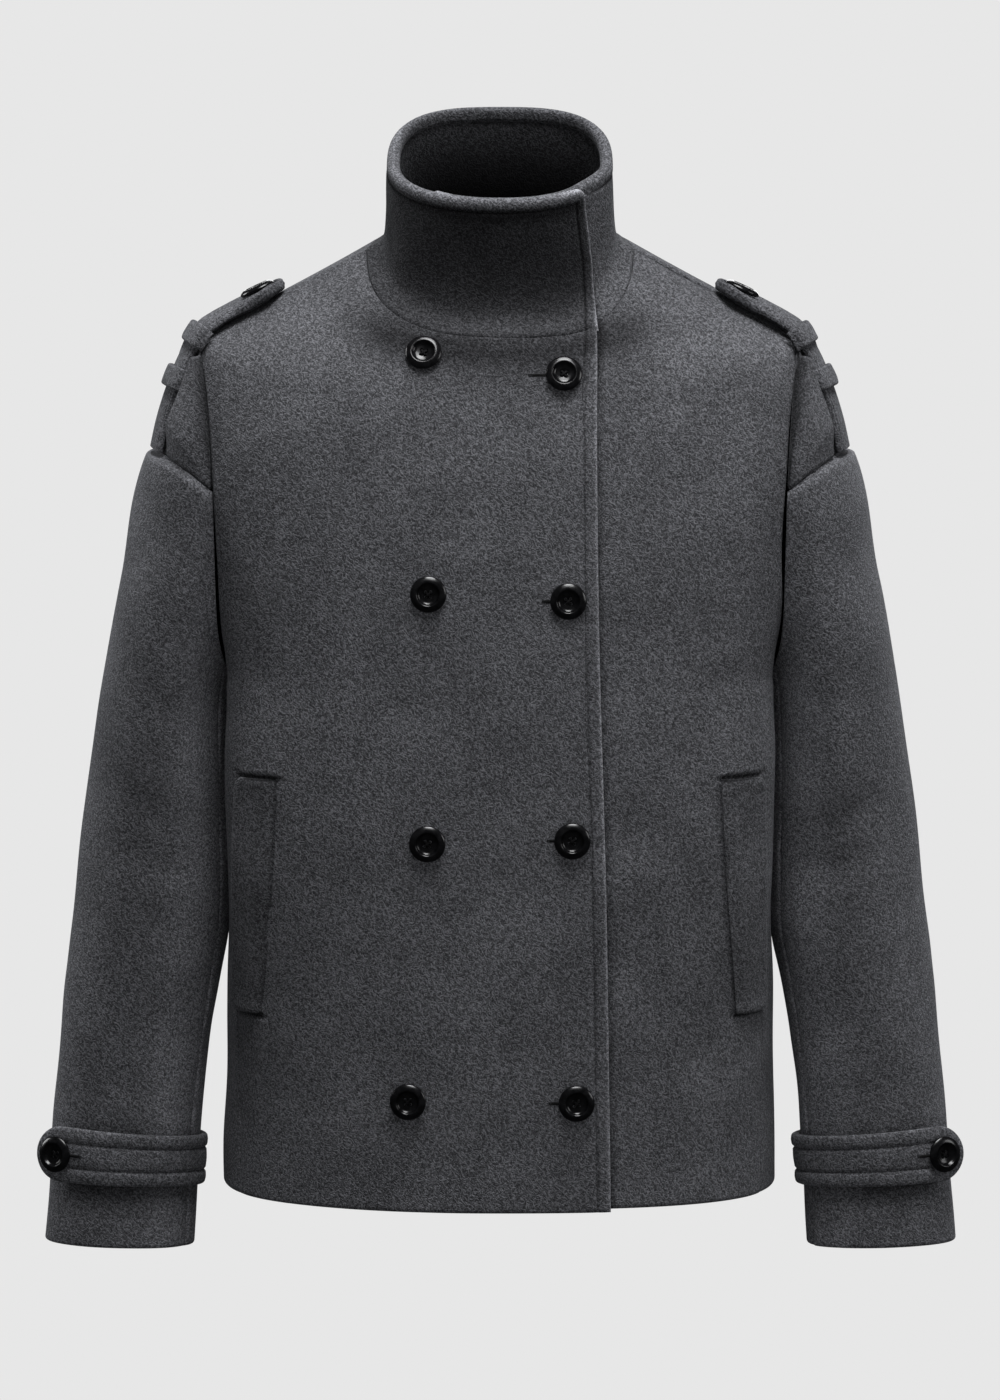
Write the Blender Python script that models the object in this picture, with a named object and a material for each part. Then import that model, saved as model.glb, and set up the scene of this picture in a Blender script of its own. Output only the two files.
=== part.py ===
"""Funnel-neck double-breasted pea coat, filled out as if worn, with shoulder and cuff straps.

Run with: blender --background --python part.py
Metres, +Z up. The front faces -Y and the wearer's left is +X. The origin is between the wearer's
neck points, where the shoulders carry the coat. "Outward" means away from the body or arm.
"""

import math

import bmesh
import bpy
import numpy as np
from mathutils import Matrix, Vector

# ---------------------------------------------------------------- driving dimensions (metres)

CLOTH = 0.003            # one layer of heavy melton with its interlining
FACED_CLOTH = 0.005      # front edges, where the cloth is turned back on itself
COLLAR_CLOTH = 0.006     # collar wall, two layers
RIM_CLOTH = 0.008        # turned rim of the collar, four layers
STRAP_CLOTH = 0.005      # straps, two layers
LOOP_CLOTH = 0.003
SEAM_GAP = 0.0004        # clear gap left between two sewn pieces
LAYER_GAP = 0.0008       # clear gap left between two layers that overlap

HEM_Z = -0.677           # hem of the body, below the neck points
UNDERARM_Z = -0.310
YOKE_FRONT_Z = -0.108    # front of the ring that passes through the shoulder points
YOKE_BACK_Z = -0.095
NECK_FRONT_Z = -0.057
NECK_BACK_Z = 0.018
SHOULDER_POINT = (0.215, -0.063)      # x, z
UNDERARM = (0.205, UNDERARM_Z)        # x, z
ARMHOLE_FRONT = 0.074    # reach of the armhole to the front and the back of the shoulder
ARMHOLE_BACK = 0.078
ARMHOLE_BOW = 0.0065     # how far the armhole line bows towards the chest
YOKE_DROP = 1.8          # the rings leave the shoulder level, then fall with this power of their reach

BUTTON_RADIUS = 0.013
BUTTON_THICK = 0.0048

# Half width of the body and how square its section is, at each height.
SIDE_COLUMNS = ("height", "half_width", "squareness")
SIDE_ROWS = [
    (-0.680, 0.1988, 2.55),
    (-0.600, 0.1968, 2.60),
    (-0.530, 0.1970, 2.75),
    (-0.440, 0.2030, 3.20),
    (-0.350, 0.2050, 3.30),
    (-0.310, 0.2050, 3.10),
]

# Depth of the body in front of and behind the origin, on the centre line.
DEPTH_COLUMNS = ("height", "front", "back")
DEPTH_ROWS = [
    (-0.680, 0.1410, 0.1300),
    (-0.450, 0.1370, 0.1190),
    (-0.310, 0.1310, 0.1210),
    (-0.208, 0.1230, 0.1250),
    (-0.160, 0.1150, 0.1240),
    (-0.108, 0.1020, 0.1180),
    (-0.080, 0.0920, 0.1120),
    (-0.057, 0.0800, 0.1060),
    (-0.020, 0.0760, 0.0900),
    (0.018, 0.0740, 0.0680),
]

# Shoulder ridge from the shoulder point (0) to the neck point (1).
RIDGE_COLUMNS = ("share", "half_width", "height", "squareness")
RIDGE_ROWS = [
    (0.00, SHOULDER_POINT[0], SHOULDER_POINT[1], 2.45),
    (0.25, 0.1850, -0.0475, 2.80),
    (0.50, 0.1550, -0.0325, 2.80),
    (0.75, 0.1250, -0.0170, 2.65),
    (1.00, 0.0960, -0.0010, 2.50),
]

# Sections of the arm, from the armhole to the cuff. Outer and inner are the two ends of a section.
ARM_COLUMNS = ("reach", "outer_x", "outer_z", "inner_x", "inner_z",
               "front", "back", "centre_y", "lift", "bow")
ARM_ROWS = [
    (0.000, *SHOULDER_POINT, *UNDERARM, ARMHOLE_FRONT, ARMHOLE_BACK, 0.000, 0.000, ARMHOLE_BOW),
    (0.030, 0.2265, -0.0920, 0.2075, -0.3175, 0.0750, 0.0790, 0.000, 0.000, 0.0030),
    (0.060, 0.2362, -0.1190, 0.2085, -0.3260, 0.0760, 0.0800, 0.000, 0.000, 0.0010),
    (0.090, 0.2450, -0.1460, 0.2090, -0.3350, 0.0770, 0.0800, 0.000, 0.000, 0.0000),
    (0.130, 0.2590, -0.1880, 0.2090, -0.3520, 0.0770, 0.0800, 0.000, 0.000, 0.0000),
    (0.180, 0.2710, -0.2350, 0.2085, -0.3780, 0.0770, 0.0790, 0.000, 0.000, 0.0000),
    (0.240, 0.2825, -0.2920, 0.2075, -0.4120, 0.0750, 0.0770, 0.001, 0.000, 0.0000),
    (0.310, 0.2925, -0.3560, 0.2050, -0.4520, 0.0710, 0.0730, 0.002, 0.000, 0.0000),
    (0.380, 0.3010, -0.4200, 0.2010, -0.4920, 0.0670, 0.0690, 0.001, 0.001, 0.0000),
    (0.450, 0.3085, -0.4870, 0.2038, -0.5340, 0.0620, 0.0630, -0.002, 0.002, 0.0000),
    (0.520, 0.3155, -0.5550, 0.2098, -0.5800, 0.0570, 0.0580, -0.006, 0.003, 0.0000),
    (0.590, 0.3215, -0.6240, 0.2160, -0.6340, 0.0520, 0.0530, -0.010, 0.004, 0.0000),
    (0.640, 0.3250, -0.6720, 0.2189, -0.6760, 0.0500, 0.0500, -0.013, 0.004, 0.0000),
    (0.690, 0.3279, -0.7190, 0.2207, -0.7220, 0.0490, 0.0480, -0.015, 0.003, 0.0000),
]

# Where the arm presses the side of the coat in: share of the full tuck at each height.
TUCK = 0.016
TUCK_COLUMNS = ("height", "share")
TUCK_ROWS = [
    (-0.560, 0.00),
    (-0.520, 0.12),
    (-0.440, 0.85),
    (-0.380, 1.00),
    (-0.310, 1.00),
    (-0.260, 0.50),
    (-0.200, 0.00),
]
TUCK_SPREAD_Y = 0.050
TUCK_INNER_X, TUCK_OUTER_X = 0.212, 0.258

# Side seam, as a share of the quarter turn from centre front (0) to the side (1).
SIDE_SEAM_COLUMNS = ("height", "turn")
SIDE_SEAM_ROWS = [(-0.680, 0.760), (-0.545, 0.800), (-0.440, 0.880), (-0.350, 0.965), (-0.310, 1.0)]

# Front edge of the upper front, beyond centre front; the under front mirrors it.
FRONT_EDGE_COLUMNS = ("height", "x")
FRONT_EDGE_ROWS = [(-0.680, 0.0795), (-0.455, 0.0757), (-0.240, 0.0700), (-0.108, 0.0690), (-0.050, 0.0695)]

# Collar rim, an oval that leans forward with the neck.
RIM_HALF_WIDTH = 0.0800
RIM_FRONT, RIM_BACK = 0.0640, 0.0620
RIM_SIDE_Z = 0.0625
RIM_LEAN_FRONT, RIM_LEAN_BACK = 0.36, 0.53   # rise of the rim for each metre towards the back
RIM_OVAL_FRONT, RIM_OVAL_BACK = 0.90, 0.70   # 1 makes the rim an ellipse, less makes it squarer
COLLAR_HOLLOW = 0.0045   # how far the collar's front is drawn in between its seam and its rim
COLLAR_END_TURN = 0.47   # where each end of the collar stops, in turns from centre front
COLLAR_END_SHARES = (0.0, 0.05, 0.10, 0.25, 0.50, 0.75, 1.0)
COLLAR_END_TURNS = (0.47, 0.52, 0.553, 0.58, 0.57, 0.55, 0.53)   # its upper end, share by share
COLLAR_LEVELS = (0.0, 0.07, 0.16, 0.30, 0.55, 0.84, 0.90, 1.0)
COLLAR_THICK = (0.005, 0.0055, COLLAR_CLOTH, COLLAR_CLOTH, COLLAR_CLOTH, COLLAR_CLOTH, RIM_CLOTH, RIM_CLOTH)

# Shoulder panel between the armhole and the dropped sleeve seam.
PANEL_REACH = 0.090
PANEL_END = math.radians(80)
PANEL_DEG = (80, 70, 60, 50, 43, 37, 31.5, 12, 0, -7.5, -12.5, -19, -30, -43, -56, -68, -80)
FRONT_LOWER_DEG = (155, 140, 125, 110, 95, 80)   # top sleeve in front, below the panel
BACK_LOWER_DEG = (-80, -98, -115)
UNDER_DEG = (155, 168, 180, 195, 210, 228, 245)      # under sleeve, from its front seam to its back seam
PLEAT_CENTRE = math.radians(12)
PLEAT_HALF = math.radians(19.5)
PLEAT_RISE = 0.0065         # height of the pleat folds beside the channel
CHANNEL_DROP = 0.0020       # how far the channel for the strap lies below the panel
SLEEVE_FULLNESS = 0.0075  # fold of spare cloth just under the dropped seam

# Shoulder strap: outer face on its centre line, from the sleeve seam up to its round end.
STRAP_COLUMNS = ("x", "z", "y", "roll")
STRAP_ROWS = [
    (0.2502, -0.1430, -0.017, 8),
    (0.2460, -0.1240, -0.017, 8),
    (0.2389, -0.1010, -0.016, 8),
    (0.2297, -0.0780, -0.014, 8),
    (0.2222, -0.0645, -0.013, 8),
    (0.2160, -0.0550, -0.011, 8),
    (0.2065, -0.0480, -0.009, 7),
    (0.1960, -0.0425, -0.007, 6),
    (0.1855, -0.0375, -0.005, 6),
    (0.1750, -0.0320, -0.004, 5),
    (0.1660, -0.0280, -0.003, 5),
    (0.1560, -0.0250, -0.003, 5),
]
STRAP_HALF_WIDTH = 0.0225
STRAP_CUP = 6.6          # fall of the strap's edges, per metre squared
STRAP_BUTTON_BACK = 0.0185
LOOP_SHARES = (0.325, 0.535)   # places of the two loops along the strap
LOOP_WIDTH = 0.016

CUFF_STRAP_HALF = 0.0213
CUFF_STRAP_REACH = 0.6207
CUFF_STRAP_START = math.radians(248)   # behind the arm, at its back seam
CUFF_STRAP_LEAVE = math.radians(52)    # where the strap leaves the sleeve and runs straight
CUFF_STRAP_FREE = 0.0318
CUFF_BUTTON_BACK = 0.0183

WELT_WIDTH = 0.040
WELT_CLOTH = 0.0035
WELT_COLUMNS = ("height", "seam_x")
WELT_ROWS = [(-0.5425, 0.1690), (-0.4570, 0.1625), (-0.3705, 0.1570)]

FRONT_BUTTONS = [  # x, z on the upper front
    (-0.0540, -0.0690), (-0.0506, -0.2360), (-0.0514, -0.4130), (-0.0651, -0.5980),
    (0.0455, -0.0830), (0.0485, -0.2410), (0.0514, -0.4110), (0.0544, -0.5990),
]

COLOURS = {  # name: colour, roughness
    "melton": ((0.066, 0.066, 0.070), 0.95),
    "button": ((0.010, 0.010, 0.011), 0.22),
}


# ---------------------------------------------------------------- helpers

def column(columns, rows, name):
    return np.array([row[columns.index(name)] for row in rows])


def smooth(keys, values, at):
    """Cubic curve through the table's rows, flat past its ends."""
    at = np.clip(np.asarray(at, float), keys[0], keys[-1])
    slope = np.gradient(values, keys)
    i = np.clip(np.searchsorted(keys, at) - 1, 0, len(keys) - 2)
    step = keys[i + 1] - keys[i]
    t = (at - keys[i]) / step
    return (
        values[i] * (1 + 2 * t) * (1 - t) ** 2
        + values[i + 1] * t * t * (3 - 2 * t)
        + step * (slope[i] * t * (1 - t) ** 2 - slope[i + 1] * t * t * (1 - t))
    )


def read(columns, rows, name, at):
    """The named column of a table at the given value of its first column."""
    return smooth(column(columns, rows, columns[0]), column(columns, rows, name), at)


def ease(t):
    t = np.clip(t, 0, 1)
    return t * t * (3 - 2 * t)


def unit(v):
    return v / np.maximum(np.linalg.norm(v, axis=-1, keepdims=True), 1e-12)


def power(v, exponent):
    return np.sign(v) * np.abs(v) ** exponent


def tucked(points):
    """Presses the side of the body, and the sleeve beside it, in where the arm hangs."""
    x, y, z = points[..., 0], points[..., 1], points[..., 2]
    near = 1 - ease((np.abs(x) - TUCK_INNER_X) / (TUCK_OUTER_X - TUCK_INNER_X))
    share = read(TUCK_COLUMNS, TUCK_ROWS, "share", z)
    shift = TUCK * share * near * np.exp(-((y / TUCK_SPREAD_Y) ** 2)) * ease(np.abs(x) / 0.15)
    return np.stack([x - np.sign(x) * shift, y, z], axis=-1)


def normals_of(form, a, b, step=1e-3):
    """Unit normals of form(a, b) from differences, pointing away from the form's middle."""
    along_a = form(a + step, b) - form(a - step, b)
    along_b = form(a, b + step) - form(a, b - step)
    return unit(np.cross(along_a, along_b))


# ---------------------------------------------------------------- body form

def armhole(angle, to_front):
    """Points of the armhole line: angle 0 at the shoulder point, half a turn at the underarm."""
    share = (1 - np.cos(angle)) / 2
    x = SHOULDER_POINT[0] + (UNDERARM[0] - SHOULDER_POINT[0]) * share - ARMHOLE_BOW * np.sin(angle) ** 2
    z = SHOULDER_POINT[1] + (UNDERARM[1] - SHOULDER_POINT[1]) * share
    return x, np.sin(angle) * (ARMHOLE_FRONT if to_front else ARMHOLE_BACK), z


def body_ring(level, to_front):
    """Half width, side height, depth, centre height, squareness and drop of the ring at a level.

    Level 0 is the hem, 1 the underarm, 2 the shoulder points and 3 the neck seam.
    """
    depth_name = "front" if to_front else "back"
    yoke_z, neck_z = (YOKE_FRONT_Z, NECK_FRONT_Z) if to_front else (YOKE_BACK_Z, NECK_BACK_Z)
    low = HEM_Z + (UNDERARM_Z - HEM_Z) * np.clip(level, 0, 1)
    angle = np.pi * (2 - np.clip(level, 1, 2))
    rise = (1 + np.cos(angle)) / 2
    top = np.clip(level - 2, 0, 1)
    centre_z = np.where(level < 1, low, UNDERARM_Z + (yoke_z - UNDERARM_Z) * rise)
    centre_z = np.where(level > 2, yoke_z + (neck_z - yoke_z) * top, centre_z)
    depth = read(DEPTH_COLUMNS, DEPTH_ROWS, depth_name, centre_z)
    square = np.where(
        level < 1,
        read(SIDE_COLUMNS, SIDE_ROWS, "squareness", low),
        SIDE_ROWS[-1][2] + (RIDGE_ROWS[0][3] - SIDE_ROWS[-1][2]) * rise,
    )
    square = np.where(level > 2, read(RIDGE_COLUMNS, RIDGE_ROWS, "squareness", top), square)
    arm_x, arm_y, arm_z = armhole(angle, to_front)
    share = np.clip(arm_y / depth, 0, 0.95)
    drop = YOKE_DROP + ((1.0 if to_front else 2.2) - YOKE_DROP) * top
    low_width = read(SIDE_COLUMNS, SIDE_ROWS, "half_width", low)
    width = np.where(level < 1, low_width, arm_x / (1 - share**square) ** (1 / square))
    side_z = np.where(level < 1, low, (arm_z - centre_z * share**drop) / (1 - share**drop))
    width = np.where(level > 2, read(RIDGE_COLUMNS, RIDGE_ROWS, "half_width", top), width)
    side_z = np.where(level > 2, read(RIDGE_COLUMNS, RIDGE_ROWS, "height", top), side_z)
    return width, side_z, depth, centre_z, square, drop


def body(level, turn):
    """Outer face of the body. Turn 0 is centre front, +-1 the sides and +-2 centre back."""
    level, turn = np.broadcast_arrays(np.asarray(level, float), np.asarray(turn, float))
    level, turn = np.clip(level, 0, 3), np.where(np.abs(turn) > 2, turn - 4 * np.sign(turn), turn)
    made = []
    for to_front in (True, False):
        width, side_z, depth, centre_z, square, drop = body_ring(level, to_front)
        angle = (np.abs(turn) if to_front else 2 - np.abs(turn)) * np.pi / 2
        inward = power(np.cos(angle), 2 / square)
        x = np.sign(turn) * width * np.abs(np.sin(angle)) ** (2 / square)
        y = depth * inward * (-1 if to_front else 1)
        made.append(np.stack([x, y, side_z + (centre_z - side_z) * np.abs(inward) ** drop], axis=-1))
    return tucked(np.where((np.abs(turn) <= 1)[..., None], made[0], made[1]))


def body_normals(level, turn, blend=0.13):
    """Outward normals, averaged over nearby levels so that the wall keeps its thickness at bends."""
    level, turn = np.broadcast_arrays(np.asarray(level, float), np.asarray(turn, float))
    total = 0
    for near in (level - blend, level + blend):
        near = np.clip(near, 4e-3, 3 - 4e-3)
        found = normals_of(body, near, turn, 1.5e-3)
        here = body(near, turn)
        middle = np.stack([0 * near, 0 * near, here[..., 2] - 0.10], axis=-1)
        total = total + found * np.sign(np.sum(found * (here - middle), axis=-1, keepdims=True))
    on_shoulder_seam = (np.abs(np.abs(turn) - 1) < 1e-9) & (level > 2 - 1e-9)
    total[on_shoulder_seam, 1] = 0
    return unit(total)


def armhole_turn(level, to_front):
    """Turn at which the ring meets the armhole, between levels 1 and 2."""
    _, _, depth, _, square, _ = body_ring(level, to_front)
    _, arm_y, _ = armhole(np.pi * (2 - np.clip(level, 1, 2)), to_front)
    share = np.clip(arm_y / depth, 0, 0.95)
    angle = np.arccos(share ** (square / 2)) / (np.pi / 2)
    return angle if to_front else 2 - angle


def level_of(z):
    """Level of a height between the hem and the underarm."""
    return (z - HEM_Z) / (UNDERARM_Z - HEM_Z)


def turn_of(level, x):
    """Turn, in the front half, at which the ring reaches the given x."""
    width, _, _, _, square, _ = body_ring(np.asarray(level, float), True)
    share = np.clip(np.abs(x) / width, 0, 1)
    return np.sign(x) * np.arcsin(share ** (square / 2)) / (np.pi / 2)


def body_levels(to_front):
    """Levels of a front's or the back's rows; the armhole has one for each column of the sleeve."""
    if to_front:
        degrees = {d for d in PANEL_DEG + FRONT_LOWER_DEG + UNDER_DEG if 0 <= d <= 180}
    else:
        degrees = {-d for d in PANEL_DEG + BACK_LOWER_DEG if d <= 0}
        degrees |= {360 - d for d in UNDER_DEG if d > 180}
    arm_rows = [2 - d / 180 for d in sorted(degrees, reverse=True) if 0 < d < 180]
    return np.array([*np.linspace(0, 1, 9), *arm_rows, *np.linspace(2, 3, 5)])


def side_turn(levels, of_front):
    """Turn of a front's or the back's outer border at each level."""
    heights = HEM_Z + (UNDERARM_Z - HEM_Z) * np.clip(levels, 0, 1)
    seam = read(SIDE_SEAM_COLUMNS, SIDE_SEAM_ROWS, "turn", heights)
    arm = armhole_turn(levels, of_front)
    return np.where(levels < 1, seam, np.where(levels > 2, 1.0, arm))


def evenly(form, level, start, end, count):
    """Turns from start to end that space the ring's points evenly."""
    fine = np.linspace(start, end, 240)
    points = form(np.full_like(fine, level), fine)
    run = np.concatenate([[0], np.cumsum(np.linalg.norm(np.diff(points, axis=0), axis=1))])
    return np.interp(np.linspace(0, run[-1], count), run, fine)


# ---------------------------------------------------------------- arm form

def arm(reach, angle):
    """Outer face of the arm on the wearer's left. Angle 0 is outward, a quarter turn to the front."""
    reach, angle = np.broadcast_arrays(np.asarray(reach, float), np.asarray(angle, float))
    row = {name: read(ARM_COLUMNS, ARM_ROWS, name, reach) for name in ARM_COLUMNS[1:]}
    across, forward = np.cos(angle), np.sin(angle)
    depth = np.where(forward > 0, row["front"], row["back"])
    x = (row["outer_x"] + row["inner_x"]) / 2 + (row["outer_x"] - row["inner_x"]) / 2 * across
    z = (row["outer_z"] + row["inner_z"]) / 2 + (row["outer_z"] - row["inner_z"]) / 2 * across
    x = x - row["bow"] * forward**2 + SEAM_GAP
    return tucked(np.stack([x, row["centre_y"] - depth * forward, z + row["lift"] * forward], axis=-1))


def arm_normals(reach, angle):
    reach = np.clip(reach, 2e-3, ARM_ROWS[-1][0] - 2e-3)
    found = normals_of(arm, reach, angle, 1.5e-3)
    middle = (arm(reach, angle) + arm(reach, angle + np.pi)) / 2
    outward = np.sum(found * (arm(reach, angle) - middle), axis=-1, keepdims=True)
    return found * np.sign(outward)


def panel_reach(angle):
    """Width of the shoulder panel at each angle, from the armhole to the dropped seam."""
    inside = np.clip(np.abs(angle) / math.radians(82), 0, 1) * np.pi / 2
    return np.where(np.abs(angle) > PANEL_END + 1e-6, 0.0, PANEL_REACH * np.cos(inside) ** 0.92)


def pleat_rise(angle, share):
    """Height of the pleat folds on each side of the strap's channel."""
    off = np.abs(angle - PLEAT_CENTRE) - PLEAT_HALF
    across = ease(off / math.radians(5)) * (1 - ease((off - math.radians(6)) / math.radians(48)))
    along = ease(share / 0.4) * (1 - 0.75 * ease((share - 0.55) / 0.45))
    floor = CHANNEL_DROP * (1 - ease(1 + off / math.radians(5)))
    return (PLEAT_RISE * across - floor) * along


def sleeve_fullness(angle, beyond):
    """Fold of spare cloth below the dropped seam, strongest on the outer arm."""
    facing = np.clip(np.cos(np.clip(np.abs(angle), 0, np.pi / 2)), 0, 1) ** 0.7
    return SLEEVE_FULLNESS * facing * ease(beyond / 0.007) * (1 - ease((beyond - 0.008) / 0.085))


def edge_inward(normal):
    """Direction of a sleeve's end wall at the armhole, kept on the arm's side of the armhole."""
    inward = -normal
    inward[..., 0] = np.maximum(inward[..., 0], 0)
    length = np.maximum(np.linalg.norm(inward, axis=-1, keepdims=True), 0.6)
    return inward / length


# ---------------------------------------------------------------- meshes

def material(name):
    found = bpy.data.materials.get(name)
    if found:
        return found
    colour, roughness = COLOURS[name]
    made = bpy.data.materials.new(name)
    made.use_nodes = True
    shader = made.node_tree.nodes["Principled BSDF"]
    shader.inputs["Base Color"].default_value = (*colour, 1)
    shader.inputs["Roughness"].default_value = roughness
    shader.inputs["Metallic"].default_value = 0
    made.diffuse_color = (*colour, 1)
    return made


def link(name, mesh, finish):
    made = bpy.data.objects.new(name, mesh)
    made.data.materials.append(material(finish))
    bpy.context.scene.collection.objects.link(made)
    return made


def solid_from(name, points, faces, finish="melton", sharp=35):
    mesh = bpy.data.meshes.new(name)
    mesh.from_pydata([tuple(p) for p in points], [], faces)
    built = bmesh.new()
    built.from_mesh(mesh)
    bmesh.ops.recalc_face_normals(built, faces=built.faces)
    built.to_mesh(mesh)
    built.free()
    mesh.shade_smooth()
    mesh.set_sharp_from_angle(angle=math.radians(sharp))
    return link(name, mesh, finish)


def wall(name, outer, inner, finish="melton"):
    """Closed solid between two grids of points with the same rows and columns."""
    rows, cols = outer.shape[:2]
    points = np.concatenate([outer.reshape(-1, 3), inner.reshape(-1, 3)])
    first = np.arange(rows * cols).reshape(rows, cols)
    second = first + rows * cols
    faces = []
    for r in range(rows - 1):
        for c in range(cols - 1):
            faces.append((first[r, c], first[r, c + 1], first[r + 1, c + 1], first[r + 1, c]))
            faces.append((second[r, c], second[r + 1, c], second[r + 1, c + 1], second[r, c + 1]))
    rim = [*first[0, :], *first[1:, -1], *first[-1, -2::-1], *first[-2:0:-1, 0]]
    for i, here in enumerate(rim):
        ahead = rim[(i + 1) % len(rim)]
        faces.append((here, here + rows * cols, ahead + rows * cols, ahead))
    return solid_from(name, points, [tuple(int(i) for i in f) for f in faces], finish)


def trimmed(grid, first_row=0.0, last_row=0.0, first_col=0.0, last_col=0.0):
    """Draws a grid's borders in by the given distances, to leave the seam gaps."""
    out = grid.copy()
    if first_row:
        out[0] += unit(grid[1] - grid[0]) * first_row
    if last_row:
        out[-1] += unit(grid[-2] - grid[-1]) * last_row
    if first_col:
        out[:, 0] += unit(grid[:, 1] - grid[:, 0]) * first_col
    if last_col:
        out[:, -1] += unit(grid[:, -2] - grid[:, -1]) * last_col
    return out


def mirrored(points, side):
    return points * np.array([side, 1, 1])


# ---------------------------------------------------------------- body pieces

def edge_turn(level, sign):
    """Turn of a front's free edge at each level."""
    z = body_ring(level, True)[3]
    return turn_of(level, sign * read(FRONT_EDGE_COLUMNS, FRONT_EDGE_ROWS, "x", z))


def under_drop(turn, edge, full):
    """Depth of the under layer below the upper one, fading out beyond the upper layer's edge."""
    return full * (1 - ease((turn - edge) / (0.8 * (1 - edge))))


def build_front(name, side, upper):
    """A front. Side is -1 for the wearer's right. Its free edge lies across centre front."""
    levels = body_levels(True)
    outer_turn = side_turn(levels, True)
    free_turn = edge_turn(levels, 1)
    count = 16
    turns = np.array([evenly(body, l, -f, s, count) for l, s, f in zip(levels, outer_turn, free_turn)])
    grid = body(levels[:, None], turns)
    normal = body_normals(levels[:, None] + 0 * turns, turns)
    if not upper:
        grid = grid - normal * under_drop(turns, free_turn[:, None], FACED_CLOTH + LAYER_GAP)[..., None]
    faced = 1 - ease((turns - free_turn[:, None]) / 0.22)
    thick = CLOTH + (FACED_CLOTH - CLOTH) * faced
    grid = trimmed(grid, last_row=SEAM_GAP * 0.6, last_col=SEAM_GAP * 0.7)
    if upper:
        grid[0, :, 2] -= 0.0015 * (1 - ease((turns[0] - 0.0) / 0.5))
    return wall(name, mirrored(grid, side), mirrored(grid - normal * thick[..., None], side))


def build_back():
    levels = body_levels(False)
    reach = 2 - np.where(levels < 1, side_turn(levels, True), side_turn(levels, False))

    def from_back(level, r):
        return body(level, np.where(r < 0, -1, 1) * (2 - np.abs(r)))

    turns = np.array([evenly(from_back, l, -r, r, 27) for l, r in zip(levels, reach)])
    signed = np.where(turns < 0, -1, 1) * (2 - np.abs(turns))
    grid = body(levels[:, None], signed)
    normal = body_normals(levels[:, None] + 0 * turns, signed)
    grid = trimmed(grid, last_row=SEAM_GAP * 0.6, first_col=SEAM_GAP * 0.7, last_col=SEAM_GAP * 0.7)
    return wall("back", grid, grid - normal * CLOTH)


def collar_ring(turn):
    """Neck seam and rim of the collar at a turn."""
    turn = np.asarray(turn, float)
    seam = body(np.full_like(turn, 3.0), turn)
    to_front = np.abs(turn) <= 1
    angle = np.where(to_front, np.abs(turn), 2 - np.abs(turn)) * np.pi / 2
    oval = np.where(to_front, RIM_OVAL_FRONT, RIM_OVAL_BACK)
    x = np.sign(turn) * RIM_HALF_WIDTH * np.abs(np.sin(angle)) ** oval
    y = np.where(to_front, -RIM_FRONT, RIM_BACK) * np.abs(np.cos(angle)) ** oval
    return seam, np.stack([x, y, RIM_SIDE_Z + np.where(to_front, RIM_LEAN_FRONT, RIM_LEAN_BACK) * y], axis=-1)


def collar(share, turn):
    """Outer face of the collar. Share 0 is the neck seam, 1 the rim. It flares at the seam."""
    share, turn = np.broadcast_arrays(np.asarray(share, float), np.asarray(turn, float))
    seam, rim = collar_ring(turn)
    flare = 0.2 * (1 - share) + 0.8 * np.exp(-share / 0.09)
    out = rim + (seam - rim) * flare[..., None]
    out[..., 2] = seam[..., 2] + (rim[..., 2] - seam[..., 2]) * share
    to_front = np.abs(turn) <= 1
    front = np.where(to_front, np.cos(np.abs(turn) * np.pi / 2) ** 2, 0.0)
    out[..., 1] += COLLAR_HOLLOW * front * np.sin(np.pi * np.clip(share / 0.92, 0, 1))
    return out


def wrapped(position):
    """Turn on the neck for a position along the collar, which passes the neck's front twice."""
    return np.where(position < -2, position + 4, position)


def build_collar():
    """One strip: from its upper end across the front, round the neck, and under itself."""
    start, end = COLLAR_END_TURN, -4 - COLLAR_END_TURN
    spans = ((start, -1, 16), (-1, -2, 12), (-2, -3, 12), (-3, end, 17))
    parts = [evenly(lambda l, t: collar(l, wrapped(t)), 0.5, a, b, n)[1:] for a, b, n in spans]
    positions = np.concatenate([[start], *parts])
    shares = np.array(COLLAR_LEVELS)
    lean = np.interp(shares, COLLAR_END_SHARES, COLLAR_END_TURNS) - COLLAR_END_TURN
    turns = wrapped(positions) + lean[:, None] * ease((positions - 0.05) / 0.42)
    grid = collar(shares[:, None], turns)
    inside = np.clip(shares, 2e-3, 0.998)[:, None] + 0 * turns
    normal = normals_of(collar, inside, turns)
    axis = np.stack([grid[..., 0], grid[..., 1], 0 * grid[..., 2]], axis=-1)
    normal = normal * np.sign(np.sum(normal * axis, axis=-1, keepdims=True))
    normal[0] = body_normals(np.full_like(turns[0], 3.0), turns[0])
    thick = np.array(COLLAR_THICK)[:, None]
    begin = -4 + COLLAR_END_TURN
    under = ease((begin + 0.42 + 0.09 * ease(shares / 0.2)[:, None] - positions) / 0.40)
    grid = grid - normal * ((thick + LAYER_GAP) * under)[..., None]
    grid = trimmed(grid, first_row=SEAM_GAP * 0.8)
    return wall("collar", grid, grid - normal * thick[..., None])


# ---------------------------------------------------------------- arm pieces

def build_shoulder_panel(name, side):
    angles = np.radians(PANEL_DEG)
    shares = np.array([0, 0.15, 0.32, 0.5, 0.75, 1.0])[:, None]
    reach = shares * panel_reach(angles)[None, :]
    angle = angles + 0 * reach
    normal = arm_normals(reach, angle)
    inner = arm(reach, angle) + 0
    grid = inner + normal * pleat_rise(angle, shares)[..., None]
    grid = trimmed(grid, last_row=SEAM_GAP)
    inward = -normal
    inward[0] = edge_inward(normal[0])
    return wall(name, mirrored(grid, side), mirrored(grid + inward * CLOTH, side))


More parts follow.
